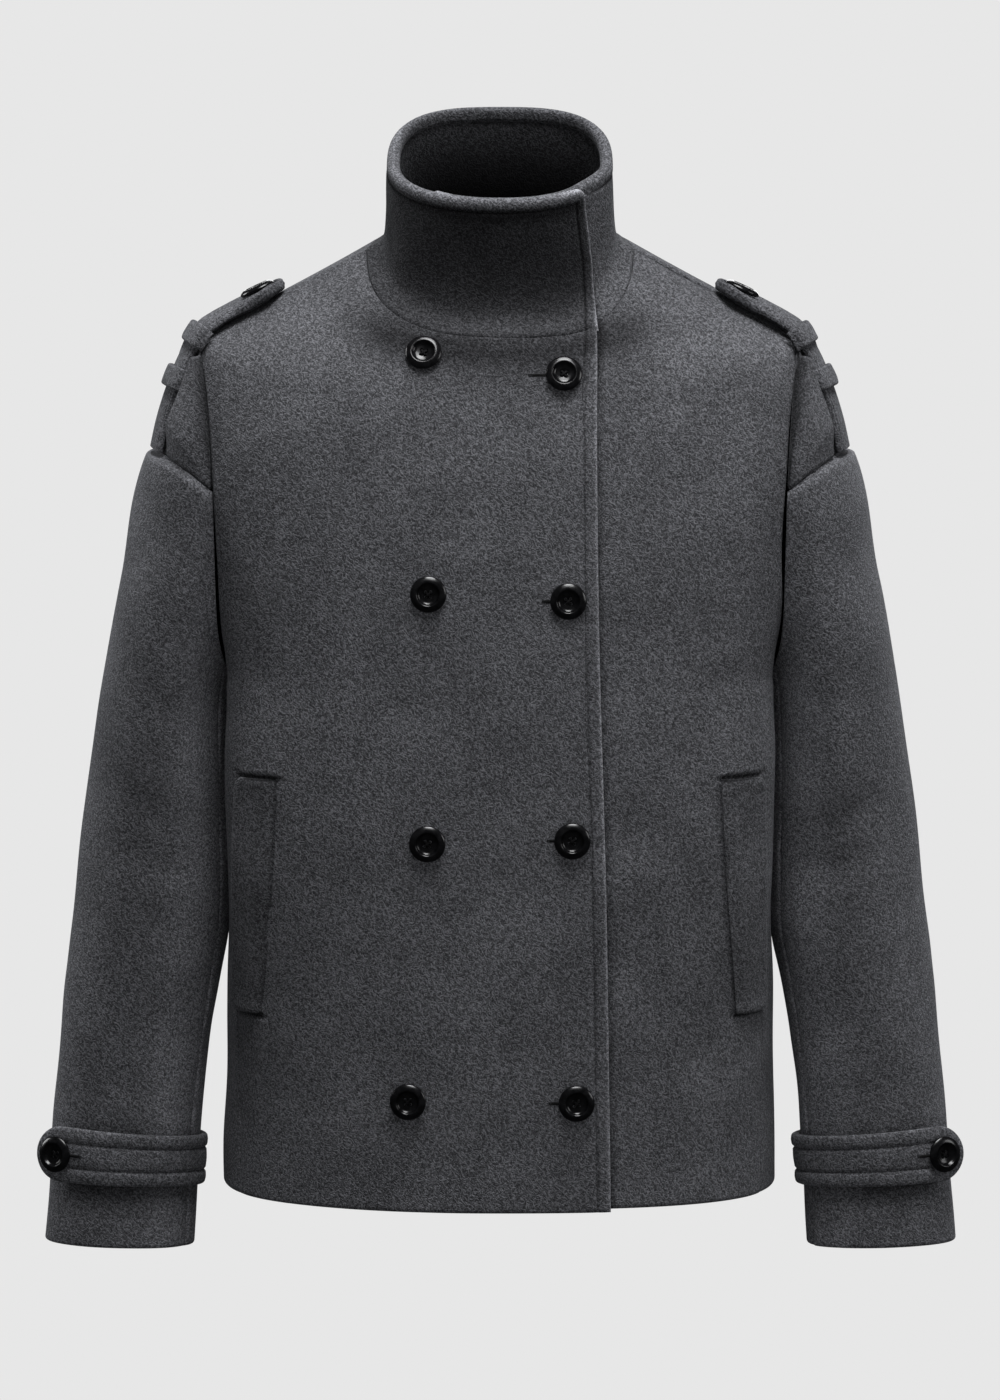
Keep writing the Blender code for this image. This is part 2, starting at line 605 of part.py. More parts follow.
def sleeve_reach(angles, shares):
    top = panel_reach(angles)[None, :]
    return top + (ARM_ROWS[-1][0] - top) * shares[:, None]


def build_sleeve(name, side, degrees):
    """Top or under half of a sleeve, from the dropped seam or the armhole down to the cuff."""
    angles = np.radians(degrees)
    shares = np.array([0, 0.014, 0.05, 0.11, 0.18, 0.26, 0.35, 0.45, 0.56, 0.68, 0.8, 0.9, 1.0])
    reach = sleeve_reach(angles, shares)
    angle = angles + 0 * reach
    normal = arm_normals(reach, angle)
    beyond = reach - reach[0]
    grid = arm(reach, angle) + normal * sleeve_fullness(angle, beyond)[..., None]
    grid = trimmed(grid, first_col=SEAM_GAP * 0.5, last_col=SEAM_GAP * 0.5)
    inward = -normal
    free = panel_reach(angles) == 0
    inward[0, free] = edge_inward(normal[0, free])
    return wall(name, mirrored(grid, side), mirrored(grid + inward * CLOTH, side))


# ---------------------------------------------------------------- straps

def strap_frame(shares):
    """Centre, along, across and outward directions of the shoulder strap at shares of its length."""
    table = np.array(STRAP_ROWS)
    points = table[:, [0, 2, 1]]
    run = np.concatenate([[0], np.cumsum(np.linalg.norm(np.diff(points, axis=0), axis=1))])
    run = run / run[-1]

    def at(s):
        return np.stack([smooth(run, points[:, k], s) for k in range(3)], axis=-1)

    centre = at(shares)
    along = unit(at(np.clip(shares + 0.01, 0, 1)) - at(np.clip(shares - 0.01, 0, 1)))
    roll = np.radians(smooth(run, table[:, 3], shares))[..., None]
    back = np.array([0.0, 1.0, 0.0])
    across = unit(back - along * (along @ back)[..., None])
    outward = unit(np.cross(across, along))
    outward = outward * np.sign(outward[..., [2]] + outward[..., [0]])
    tilted = across * np.cos(roll) + outward * np.sin(roll)
    return centre, along, tilted, unit(outward * np.cos(roll) - across * np.sin(roll))


def strap_length():
    table = np.array(STRAP_ROWS)
    return np.linalg.norm(np.diff(table[:, :3], axis=0), axis=1).sum()


def round_end(distance, half):
    """Half width of a strap with a round end, at a distance from the end."""
    inside = np.clip(1 - distance / half, 0, 1)
    return half * np.sqrt(np.maximum(1 - inside**2, 0.012))


def build_shoulder_strap(name, side):
    length = strap_length()
    rounded = np.array([0, 0.12, 0.35, 0.65, 1.0]) * STRAP_HALF_WIDTH
    from_end = np.concatenate([rounded, np.linspace(STRAP_HALF_WIDTH, length, 15)[1:]])
    shares = np.clip(1 - from_end / length, 0, 1)
    centre, _, across, outward = strap_frame(shares)
    half = round_end(from_end, STRAP_HALF_WIDTH)
    offset = np.linspace(-1, 1, 5)[None, :] * half[:, None]
    fall = STRAP_CUP * offset**2
    grid = centre[:, None] + across[:, None] * offset[..., None] - outward[:, None] * fall[..., None]
    return wall(name, mirrored(grid, side), mirrored(grid - outward[:, None] * STRAP_CLOTH, side))


def build_strap_loop(name, side, share):
    """Band over the strap with a leg down each side of it."""
    length = strap_length()
    along_shares = share + np.array([-0.5, 0, 0.5]) * LOOP_WIDTH / length
    centre, _, across, outward = strap_frame(along_shares)
    clear = STRAP_HALF_WIDTH + LAYER_GAP
    leg = LOOP_LEG[share]
    inner = [(-clear, -leg[0]), (-clear, LAYER_GAP - STRAP_CUP * clear**2)]
    inner += [(c, LAYER_GAP - STRAP_CUP * c * c) for c in (-0.014, 0.0, 0.014)]
    inner += [(clear, LAYER_GAP - STRAP_CUP * clear**2), (clear, -leg[1])]
    rise = [0] + [LOOP_CLOTH] * (len(inner) - 2) + [0]
    outer = [(c * (1 + LOOP_CLOTH / clear), h + up) for (c, h), up in zip(inner, rise)]

    def spread(section):
        flat, high = np.array(section)[None, :, :1], np.array(section)[None, :, 1:]
        return centre[:, None] + across[:, None] * flat + outward[:, None] * high

    return wall(name, mirrored(spread(outer), side), mirrored(spread(inner), side))


LOOP_LEG = {LOOP_SHARES[0]: (0.0086, 0.0086), LOOP_SHARES[1]: (0.0086, 0.0086)}


def cuff_strap_grid(widths):
    """Outer face of the cuff strap: round the sleeve, then straight on to its round end."""
    lift = STRAP_CLOTH + LAYER_GAP
    bend = np.linspace(CUFF_STRAP_START, CUFF_STRAP_LEAVE, 20)
    rows = []
    for w in widths:
        reach = np.full_like(bend, CUFF_STRAP_REACH) + w * CUFF_STRAP_HALF
        rows.append(arm(reach, bend) + arm_normals(reach, bend) * lift)
    around = np.array(rows)
    heading = unit(around[:, -1] - around[:, -2])
    heading = unit(np.broadcast_to(heading.mean(axis=0), heading.shape))
    free = np.concatenate([np.array([0.35, 0.7]) * (CUFF_STRAP_FREE - CUFF_STRAP_HALF),
                           CUFF_STRAP_FREE - CUFF_STRAP_HALF * np.array([1.0, 0.6, 0.3, 0.1, 0.0])])
    tip = around[:, -1][:, None] + heading[:, None] * free[None, :, None]
    grid = np.concatenate([around, tip], axis=1)
    middle = grid[len(widths) // 2]
    half = round_end(CUFF_STRAP_FREE - free, CUFF_STRAP_HALF) / CUFF_STRAP_HALF
    end = slice(len(bend), None)
    grid[:, end] = middle[None, end] + (grid[:, end] - middle[None, end]) * half[None, :, None]
    return grid, heading[0]


def grid_normals(grid, away_from):
    """Normals of a grid of points, pointing away from a point."""
    found = unit(np.cross(np.gradient(grid, axis=0), np.gradient(grid, axis=1)))
    return found * np.sign(np.sum(found * (grid - away_from), axis=-1, keepdims=True))


def cuff_centre():
    return (arm(CUFF_STRAP_REACH, 0.0) + arm(CUFF_STRAP_REACH, np.pi)) / 2


def build_cuff_strap(name, side):
    grid, _ = cuff_strap_grid((-1, 0, 1))
    normal = grid_normals(grid, cuff_centre())
    normal = unit(normal.mean(axis=0, keepdims=True)) + 0 * normal
    return wall(name, mirrored(grid, side), mirrored(grid - normal * STRAP_CLOTH, side))


# ---------------------------------------------------------------- pockets and buttons

def build_welt(name, side, upper):
    """Welt of a slanted hand pocket, laid on the front beside its seam."""
    heights = np.linspace(WELT_ROWS[0][0], WELT_ROWS[-1][0], 7)
    levels = level_of(heights)
    grid, normal = [], []
    for level, z in zip(levels, heights):
        seam = turn_of(level, read(WELT_COLUMNS, WELT_ROWS, "seam_x", z))
        fine = np.linspace(float(seam), 1.0, 200)
        points = body(np.full_like(fine, level), fine)
        run = np.concatenate([[0], np.cumsum(np.linalg.norm(np.diff(points, axis=0), axis=1))])
        turns = np.interp(np.linspace(0, WELT_WIDTH, 4), run, fine)
        grid.append(body(np.full_like(turns, level), turns))
        normal.append(body_normals(np.full_like(turns, level), turns))
    grid, normal = np.array(grid), np.array(normal)
    drop = 0.0 if upper else 0.0002
    seat = grid + normal * (LAYER_GAP - drop)
    return wall(name, mirrored(seat + normal * WELT_CLOTH, side), mirrored(seat, side))


def build_button(name, seat, outward):
    """Dished button on a short thread shank: a turned profile about its own axis."""
    r, t = BUTTON_RADIUS, BUTTON_THICK
    profile = [(0.0, 0.52 * t), (0.50 * r, 0.52 * t), (0.62 * r, 0.94 * t), (0.80 * r, t), (r, 0.62 * t),
               (0.90 * r, 0.16 * t), (0.30 * r, 0.0), (0.0, 0.0)]
    mesh = bpy.data.meshes.new(name)
    built = bmesh.new()
    verts = [built.verts.new((x, 0, z)) for x, z in profile]
    edges = [built.edges.new(pair) for pair in zip(verts, verts[1:])]
    bmesh.ops.spin(built, geom=verts + edges, axis=(0, 0, 1), cent=(0, 0, 0), angle=2 * math.pi, steps=16)
    bmesh.ops.remove_doubles(built, verts=built.verts, dist=1e-5)
    bmesh.ops.recalc_face_normals(built, faces=built.faces)
    turn = Vector(outward).to_track_quat("Z", "Y").to_matrix().to_4x4()
    built.transform(Matrix.Translation(Vector(seat)) @ turn)
    built.to_mesh(mesh)
    built.free()
    mesh.shade_smooth()
    mesh.set_sharp_from_angle(angle=math.radians(40))
    return link(name, mesh, "button")


def level_for_height(z, x):
    """Level at which the front of the body reaches a height, at a given x."""
    levels = np.linspace(0, 2.9, 1200)
    turns = turn_of(levels, x)
    return float(np.interp(z, body(levels, turns)[:, 2], levels))


def build_front_button(name, x, z):
    level = level_for_height(z, x)
    turn = float(turn_of(level, x))
    point = body(level, turn)
    outward = body_normals(np.array([level]), np.array([turn]))[0]
    return build_button(name, point + outward * SEAM_GAP, outward)


def build_strap_button(name, side):
    share = 1 - STRAP_BUTTON_BACK / strap_length()
    centre, _, _, outward = strap_frame(np.array([share]))
    seat = centre[0] + outward[0] * SEAM_GAP
    return build_button(name, mirrored(seat, side), mirrored(outward[0], side))


def build_cuff_button(name, side):
    grid, heading = cuff_strap_grid((-1, 0, 1))
    end = grid[1, -1]
    seat = end - heading * CUFF_BUTTON_BACK
    outward = grid_normals(grid, cuff_centre())[1, -3]
    return build_button(name, mirrored(seat + outward * LAYER_GAP, side), mirrored(outward, side))


def main():
    for old in list(bpy.data.objects):
        bpy.data.objects.remove(old, do_unlink=True)
    build_front("front_right", -1, True)
    build_front("front_left", 1, False)
    build_back()
    build_collar()
    for word, side in (("right", -1), ("left", 1)):
        build_shoulder_panel(f"shoulder_panel_{word}", side)
        build_sleeve(f"top_sleeve_{word}", side, FRONT_LOWER_DEG[:-1] + PANEL_DEG + BACK_LOWER_DEG[1:])
        build_sleeve(f"under_sleeve_{word}", side, UNDER_DEG)
        build_shoulder_strap(f"shoulder_strap_{word}", side)
        for number, share in enumerate(LOOP_SHARES, 1):
            build_strap_loop(f"strap_loop_{word}_{number}", side, share)
        build_cuff_strap(f"cuff_strap_{word}", side)
        build_welt(f"pocket_welt_{word}", side, side < 0)
        build_strap_button(f"button_shoulder_{word}", side)
        build_cuff_button(f"button_cuff_{word}", side)
    for number, (x, z) in enumerate(FRONT_BUTTONS, 1):
        build_front_button(f"button_front_{number}", x, z)


main()
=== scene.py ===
# Pea coat in heavy charcoal melton: the looks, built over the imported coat.
# Metres, +Z up. The front faces -Y and the wearer's left is +X.
import math

import bmesh
import bpy
import numpy as np
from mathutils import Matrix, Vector
from mathutils.bvhtree import BVHTree


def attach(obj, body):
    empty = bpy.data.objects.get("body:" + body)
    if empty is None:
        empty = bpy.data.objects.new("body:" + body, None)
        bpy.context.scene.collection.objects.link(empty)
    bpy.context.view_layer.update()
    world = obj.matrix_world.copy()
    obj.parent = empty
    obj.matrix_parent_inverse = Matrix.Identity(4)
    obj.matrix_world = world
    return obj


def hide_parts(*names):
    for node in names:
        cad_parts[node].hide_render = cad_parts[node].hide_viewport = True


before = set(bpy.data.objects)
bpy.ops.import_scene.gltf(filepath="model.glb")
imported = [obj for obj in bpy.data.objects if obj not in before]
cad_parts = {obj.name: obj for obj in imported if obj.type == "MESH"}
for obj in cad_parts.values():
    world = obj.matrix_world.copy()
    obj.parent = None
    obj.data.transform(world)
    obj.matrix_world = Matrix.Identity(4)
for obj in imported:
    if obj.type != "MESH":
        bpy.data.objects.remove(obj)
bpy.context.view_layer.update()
print("frame loaded,", len(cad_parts), "nodes")


view = {
    "target": (0.0, 0.0, -0.328),
    "distance": 8.0,
    "elevation": 7.5,        # degrees above level
    "lens": 285.7, "sensor": 36,
}


def show(made):
    bpy.context.scene.collection.objects.link(made)
    return made


def makeCamera():
    target = Vector(view["target"])
    lift = math.radians(view["elevation"])
    away = Vector((0, -math.cos(lift), math.sin(lift)))
    data = bpy.data.cameras.new("frontCamera")
    data.lens, data.sensor_width = view["lens"], view["sensor"]
    camera = show(bpy.data.objects.new("frontCamera", data))
    camera.location = target + away * view["distance"]
    camera.rotation_euler = (-away).to_track_quat("-Z", "Y").to_euler()
    bpy.context.scene.camera = camera


def smoothCurve(keys, values, at):
    # cubic curve through the rows of a table, flat past its ends
    keys, values = np.asarray(keys, float), np.asarray(values, float)
    at = np.clip(np.asarray(at, float), keys[0], keys[-1])
    slope = np.gradient(values, keys)
    i = np.clip(np.searchsorted(keys, at) - 1, 0, len(keys) - 2)
    step = keys[i + 1] - keys[i]
    t = (at - keys[i]) / step
    return (values[i] * (1 + 2 * t) * (1 - t) ** 2 + values[i + 1] * t * t * (3 - 2 * t)
            + step * (slope[i] * t * (1 - t) ** 2 - slope[i + 1] * t * t * (1 - t)))


def ease(t):
    t = np.clip(t, 0, 1)
    return t * t * (3 - 2 * t)


def eased(value, span):
    # 0 up to the start of a span (start, length), 1 from its end
    return ease((value - span[0]) / span[1])


def unit(v):
    return v / np.maximum(np.linalg.norm(v, axis=-1, keepdims=True), 1e-12)


def signedPower(v, exponent):
    return np.sign(v) * np.abs(v) ** exponent


def bump(distance, at, width):
    # bell curve of height 1 at the given distance
    return np.exp(-(((distance - at) / width) ** 2))


def runLength(points, axis=0):
    # distance along a grid's lines from their first point
    steps = np.linalg.norm(np.diff(points, axis=axis), axis=-1)
    start = np.zeros_like(np.take(steps, [0], axis=axis))
    return np.concatenate([start, np.cumsum(steps, axis=axis)], axis=axis)


waveLook = {"count": 9, "lengths": (0.7, 1.7), "phase": 6.28}


def softWaves(points, height, length, seed):
    # uneven hand of thick cloth: long sine waves in fixed random directions
    dice = np.random.default_rng(seed)
    total = np.zeros(points.shape[:-1])
    for _ in range(waveLook["count"]):
        heading = unit(dice.normal(size=3))
        wave = length * dice.uniform(*waveLook["lengths"])
        total += np.sin(points @ heading * 2 * np.pi / wave + dice.uniform(0, waveLook["phase"]))
    return height * total / math.sqrt(waveLook["count"])


bodyForm = {
    "hemZ": -0.677, "underarmZ": -0.310,
    "yokeZ": {"front": -0.108, "back": -0.095},
    "neckZ": {"front": -0.057, "back": 0.018},
    "shoulderPoint": (0.215, -0.063), "underarm": (0.205, -0.310),
    "armholeDeep": {"front": 0.074, "back": 0.078}, "armholeBow": 0.0065,
    "yokeDrop": 1.8,
    # half width and squareness of the section at each height
    "sideZ": (-0.680, -0.600, -0.530, -0.440, -0.350, -0.310),
    "sideHalf": (0.1988, 0.1968, 0.1970, 0.2030, 0.2050, 0.2050),
    "sideSquare": (2.55, 2.60, 2.75, 3.20, 3.30, 3.10),
    # depth in front of and behind the middle at each height
    "depthZ": (-0.680, -0.450, -0.310, -0.208, -0.160, -0.108, -0.080, -0.057, -0.020, 0.018),
    "depth": {
        "front": (0.1410, 0.1370, 0.1310, 0.1230, 0.1150, 0.1020, 0.0920, 0.0800, 0.0760, 0.0740),
        "back": (0.1300, 0.1190, 0.1210, 0.1250, 0.1240, 0.1180, 0.1120, 0.1060, 0.0900, 0.0680),
    },
    # shoulder ridge from the shoulder point to the neck
    "ridgeShare": (0, 0.25, 0.50, 0.75, 1.0),
    "ridgeHalf": (0.215, 0.1850, 0.1550, 0.1250, 0.0960),
    "ridgeZ": (-0.063, -0.0475, -0.0325, -0.0170, -0.0010),
    "ridgeSquare": (2.45, 2.80, 2.80, 2.65, 2.50),
    # where the arm presses the side in
    "tuck": 0.016, "tuckSpread": 0.050, "tuckX": (0.212, 0.258),
    "tuckZ": (-0.560, -0.520, -0.440, -0.380, -0.310, -0.260, -0.200),
    "tuckShare": (0.00, 0.12, 0.85, 1.00, 1.00, 0.50, 0.00),
    # side seam as a share of the quarter turn, and the free front edge
    "seamZ": (-0.680, -0.545, -0.440, -0.350, -0.310), "seamTurn": (0.760, 0.800, 0.880, 0.965, 1.0),
    "edgeZ": (-0.680, -0.455, -0.240, -0.108, -0.050), "edgeX": (0.0795, 0.0757, 0.0700, 0.0690, 0.0695),
}

armForm = {
    "reach": (0.000, 0.030, 0.060, 0.090, 0.130, 0.180, 0.240, 0.310, 0.380, 0.450, 0.520, 0.590, 0.640, 0.690),
    "outerX": (0.215, 0.2265, 0.2362, 0.2450, 0.2590, 0.2710, 0.2825, 0.2925, 0.3010, 0.3085, 0.3155, 0.3215,
               0.3250, 0.3279),
    "outerZ": (-0.063, -0.0920, -0.1190, -0.1460, -0.1880, -0.2350, -0.2920, -0.3560, -0.4200, -0.4870, -0.5550,
               -0.6240, -0.6720, -0.7190),
    "innerX": (0.205, 0.2075, 0.2085, 0.2090, 0.2090, 0.2085, 0.2075, 0.2050, 0.2010, 0.2038, 0.2098, 0.2160,
               0.2189, 0.2207),
    "innerZ": (-0.310, -0.3175, -0.3260, -0.3350, -0.3520, -0.3780, -0.4120, -0.4520, -0.4920, -0.5340, -0.5800,
               -0.6340, -0.6760, -0.7220),
    "front": (0.074, 0.0750, 0.0760, 0.0770, 0.0770, 0.0770, 0.0750, 0.0710, 0.0670, 0.0620, 0.0570, 0.0520,
              0.0500, 0.0490),
    "back": (0.078, 0.0790, 0.0800, 0.0800, 0.0800, 0.0790, 0.0770, 0.0730, 0.0690, 0.0630, 0.0580, 0.0530,
             0.0500, 0.0480),
    "centreY": (0, 0, 0, 0, 0, 0, 0.001, 0.002, 0.001, -0.002, -0.006, -0.010, -0.013, -0.015),
    "lift": (0, 0, 0, 0, 0, 0, 0, 0, 0.001, 0.002, 0.003, 0.004, 0.004, 0.003),
    "bow": (0.0065, 0.0030, 0.0010, 0, 0, 0, 0, 0, 0, 0, 0, 0, 0, 0),
}


def tuckedIn(points):
    # the side of the body, and the sleeve beside it, moves in where the arm hangs
    x, y, z = points[..., 0], points[..., 1], points[..., 2]
    innerX, outerX = bodyForm["tuckX"]
    near = 1 - ease((np.abs(x) - innerX) / (outerX - innerX))
    share = smoothCurve(bodyForm["tuckZ"], bodyForm["tuckShare"], z)
    shift = bodyForm["tuck"] * share * near * np.exp(-((y / bodyForm["tuckSpread"]) ** 2)) * ease(np.abs(x) / 0.15)
    return np.stack([x - np.sign(x) * shift, y, z], axis=-1)


def armholeLine(angle, face):
    # half an oval from the shoulder point (0) to the underarm (pi), bowed towards the chest
    share = (1 - np.cos(angle)) / 2
    (topX, topZ), (lowX, lowZ) = bodyForm["shoulderPoint"], bodyForm["underarm"]
    x = topX + (lowX - topX) * share - bodyForm["armholeBow"] * np.sin(angle) ** 2
    return x, np.sin(angle) * bodyForm["armholeDeep"][face], topZ + (lowZ - topZ) * share


def bodyRing(level, face):
    # the ring at a level: 0 hem, 1 underarm, 2 shoulder points, 3 neck seam
    f = bodyForm
    yokeZ, neckZ = f["yokeZ"][face], f["neckZ"][face]
    low = f["hemZ"] + (f["underarmZ"] - f["hemZ"]) * np.clip(level, 0, 1)
    angle = np.pi * (2 - np.clip(level, 1, 2))
    rise = (1 + np.cos(angle)) / 2
    top = np.clip(level - 2, 0, 1)
    centreZ = np.where(level < 1, low, f["underarmZ"] + (yokeZ - f["underarmZ"]) * rise)
    centreZ = np.where(level > 2, yokeZ + (neckZ - yokeZ) * top, centreZ)
    depth = smoothCurve(f["depthZ"], f["depth"][face], centreZ)
    lastSquare, firstRidge = f["sideSquare"][-1], f["ridgeSquare"][0]
    square = np.where(level < 1, smoothCurve(f["sideZ"], f["sideSquare"], low),
                      lastSquare + (firstRidge - lastSquare) * rise)
    square = np.where(level > 2, smoothCurve(f["ridgeShare"], f["ridgeSquare"], top), square)
    armX, armY, armZ = armholeLine(angle, face)
    share = np.clip(armY / depth, 0, 0.95)
    drop = f["yokeDrop"] + ((1.0 if face == "front" else 2.2) - f["yokeDrop"]) * top
    lowWidth = smoothCurve(f["sideZ"], f["sideHalf"], low)
    width = np.where(level < 1, lowWidth, armX / (1 - share**square) ** (1 / square))
    sideZ = np.where(level < 1, low, (armZ - centreZ * share**drop) / (1 - share**drop))
    width = np.where(level > 2, smoothCurve(f["ridgeShare"], f["ridgeHalf"], top), width)
    sideZ = np.where(level > 2, smoothCurve(f["ridgeShare"], f["ridgeZ"], top), sideZ)
    return width, sideZ, depth, centreZ, square, drop


def body(level, turn):
    # outer face of the body: superellipse rings, turn 0 centre front, 1 the side, 2 centre back
    level, turn = np.broadcast_arrays(np.asarray(level, float), np.asarray(turn, float))
    level, turn = np.clip(level, 0, 3), np.where(np.abs(turn) > 2, turn - 4 * np.sign(turn), turn)
    made = {}
    for face in ("front", "back"):
        width, sideZ, depth, centreZ, square, drop = bodyRing(level, face)
        angle = (np.abs(turn) if face == "front" else 2 - np.abs(turn)) * np.pi / 2
        inward = signedPower(np.cos(angle), 2 / square)
        x = np.sign(turn) * width * np.abs(np.sin(angle)) ** (2 / square)
        y = depth * inward * (-1 if face == "front" else 1)
        made[face] = np.stack([x, y, sideZ + (centreZ - sideZ) * np.abs(inward) ** drop], axis=-1)
    return tuckedIn(np.where((np.abs(turn) <= 1)[..., None], made["front"], made["back"]))


def armholeTurn(level, face):
    _, _, depth, _, square, _ = bodyRing(level, face)
    _, armY, _ = armholeLine(np.pi * (2 - np.clip(level, 1, 2)), face)
    angle = np.arccos(np.clip(armY / depth, 0, 0.95) ** (square / 2)) / (np.pi / 2)
    return angle if face == "front" else 2 - angle


def turnOf(level, x):
    # turn, in the front half, at which a ring reaches the given x
    width, _, _, _, square, _ = bodyRing(np.asarray(level, float), "front")
    return np.sign(x) * np.arcsin(np.clip(np.abs(x) / width, 0, 1) ** (square / 2)) / (np.pi / 2)


def edgeTurn(level):
    z = bodyRing(level, "front")[3]
    return turnOf(level, smoothCurve(bodyForm["edgeZ"], bodyForm["edgeX"], z))


def outerTurn(level, face):
    # turn of a front's or the back's outer border: side seam, armhole, shoulder seam
    f = bodyForm
    z = f["hemZ"] + (f["underarmZ"] - f["hemZ"]) * np.clip(level, 0, 1)
    seam = smoothCurve(f["seamZ"], f["seamTurn"], z)
    return np.where(level < 1, seam, np.where(level > 2, 1.0, armholeTurn(level, face)))


def arm(reach, angle):
    # outer face of the left arm: leaning ovals, angle 0 outward and a quarter turn to the front
    reach, angle = np.broadcast_arrays(np.asarray(reach, float), np.asarray(angle, float))
    row = {name: smoothCurve(armForm["reach"], values, reach) for name, values in armForm.items()}
    across, forward = np.cos(angle), np.sin(angle)
    depth = np.where(forward > 0, row["front"], row["back"])
    x = (row["outerX"] + row["innerX"]) / 2 + (row["outerX"] - row["innerX"]) / 2 * across
    z = (row["outerZ"] + row["innerZ"]) / 2 + (row["outerZ"] - row["innerZ"]) / 2 * across
    x = x - row["bow"] * forward**2 + 0.0004
    return tuckedIn(np.stack([x, row["centreY"] - depth * forward, z + row["lift"] * forward], axis=-1))


def outwardNormals(points, inside):
    # unit normals of a grid, on the side away from the inside points
    found = unit(np.cross(np.gradient(points, axis=0), np.gradient(points, axis=1)))
    return found * np.sign(np.sum(found * (points - inside), axis=-1, keepdims=True))


def evenTurns(form, level, start, end, count):
    # turns from start to end that space a ring's points evenly
    fine = np.linspace(start, end, 300)
    run = runLength(form(np.full_like(fine, level), fine))
    return np.interp(np.linspace(0, run[-1], count), run, fine)


def settle(grid, rounds=26, keep=0.53):
    # takes creases out of a grid and holds its borders: smooth, then swell back
    out = grid.copy()
    for _ in range(rounds):
        for amount in (0.5, -keep):
            mean = (out[:-2, 1:-1] + out[2:, 1:-1] + out[1:-1, :-2] + out[1:-1, 2:]) / 4
            out[1:-1, 1:-1, :3] += amount * (mean - out[1:-1, 1:-1])[..., :3]
    return out


def blendWeights(at, count):
    # weights of a curve through evenly spaced points (Catmull-Rom), with straight run-outs
    at = np.clip(np.asarray(at, float), 0, 1) * (count - 1)
    i = np.clip(np.floor(at).astype(int), 0, count - 2)
    t = at - i
    basis = (-0.5 * t + t**2 - 0.5 * t**3, 1 - 2.5 * t**2 + 1.5 * t**3,
             0.5 * t + 2 * t**2 - 1.5 * t**3, -0.5 * t**2 + 0.5 * t**3)
    out = np.zeros(at.shape + (count + 2,))
    for offset, weight in enumerate(basis):
        np.put_along_axis(out, (i + offset)[..., None],
                          np.take_along_axis(out, (i + offset)[..., None], -1) + weight[..., None], -1)
    first, last = out[..., 0], out[..., -1]
    inner = out[..., 1:-1].copy()
    inner[..., 0] += 2 * first
    inner[..., 1] -= first
    inner[..., -1] += 2 * last
    inner[..., -2] -= last
    return inner


def evenRows(grid, count):
    # the grid again, with each column's points evenly spaced along it
    run = runLength(grid[..., :3])
    out = np.zeros((count,) + grid.shape[1:])
    for c in range(grid.shape[1]):
        at = np.linspace(0, run[-1, c], count)
        for k in range(grid.shape[2]):
            out[:, c, k] = np.interp(at, run[:, c], grid[:, c, k])
    return out


def lineUp(total, startSteps, endSteps, spacing, extra=()):
    # distances along a line: given steps at each end, even ones between, and extra ones
    start, end = np.asarray(startSteps), total - np.asarray(endSteps)[::-1]
    count = max(2, int(round((end[0] - start[-1]) / spacing)))
    middle = np.linspace(start[-1], end[0], count + 1)[1:-1]
    return np.unique(np.round(np.concatenate([start, middle, end, np.asarray(extra, float)]), 6))


def roundSteps(half, beyond=(), count=6):
    # steps that sample a round edge evenly by angle, and more steps beyond it
    return [half * (1 - math.cos(a)) for a in np.linspace(0, math.pi / 2, count)] + [half + b for b in beyond]


def joinBorders(outer, inner):
    # a wall's two faces meet halfway at the grid's borders
    for border in (np.s_[0], np.s_[-1], np.s_[:, 0], np.s_[:, -1]):
        inner[border] = outer[border] = (outer[border] + inner[border]) / 2
    return outer, inner


def middleAxis(points, below=0.0):
    # the coat's upright middle line, at or below each point's height
    flat = 0 * points[..., 0]
    return np.stack([flat, flat, points[..., 2] - below], axis=-1)


def cornerCut(corner, fromEnd):
    # how far a quarter circle draws the side in near a piece's end
    return corner - np.sqrt(np.maximum(corner**2 - np.clip(corner - fromEnd, 0, None) ** 2, 0))


def cornerDistance(corner, fromEnd, fromSide):
    # distance to an end and a side that meet in a round corner
    a, b = np.clip(corner - fromEnd, 0, None), np.clip(corner - fromSide, 0, None)
    straight = np.minimum(fromEnd, fromSide)
    return np.maximum(np.where((a > 0) & (b > 0), corner - np.sqrt(a**2 + b**2), straight), 0)


def finePatch(grid, rows, leftSteps, rightSteps, columns):
    # samples a grid at shares of its columns' length, and across at set distances from both sides
    tall = np.einsum("ur,rck->uck", blendWeights(rows, grid.shape[0]), grid)
    widths = runLength(tall[..., :3], axis=1)[:, -1]
    shares = []
    for width in widths:
        start, end = np.asarray(leftSteps), width - np.asarray(rightSteps)[::-1]
        middle = np.linspace(start[-1], end[0], columns + 2)[1:-1]
        shares.append(np.concatenate([start, middle, end]) / width)
    weights = blendWeights(np.array(shares), grid.shape[1])
    return np.einsum("ujc,uck->ujk", weights, tall)


def sideDistances(points):
    # distance of each point from the grid's first row, last row, first column and last column
    down, across = runLength(points, 0), runLength(points, 1)
    return {"first": down, "last": down[-1:] - down, "left": across, "right": across[:, -1:] - across}


def rounded(distance, width):
    # 1 at the border, falling to 0 at the width along a quarter circle
    t = np.clip(distance / width, 0, 1)
    return 1 - np.sqrt(np.maximum(1 - (1 - t) ** 2, 0))


seamLook = {"depth": 0.0014, "width": 0.0030, "inside": 0.0012, "pull": 0.0006, "pullWidth": 0.010}


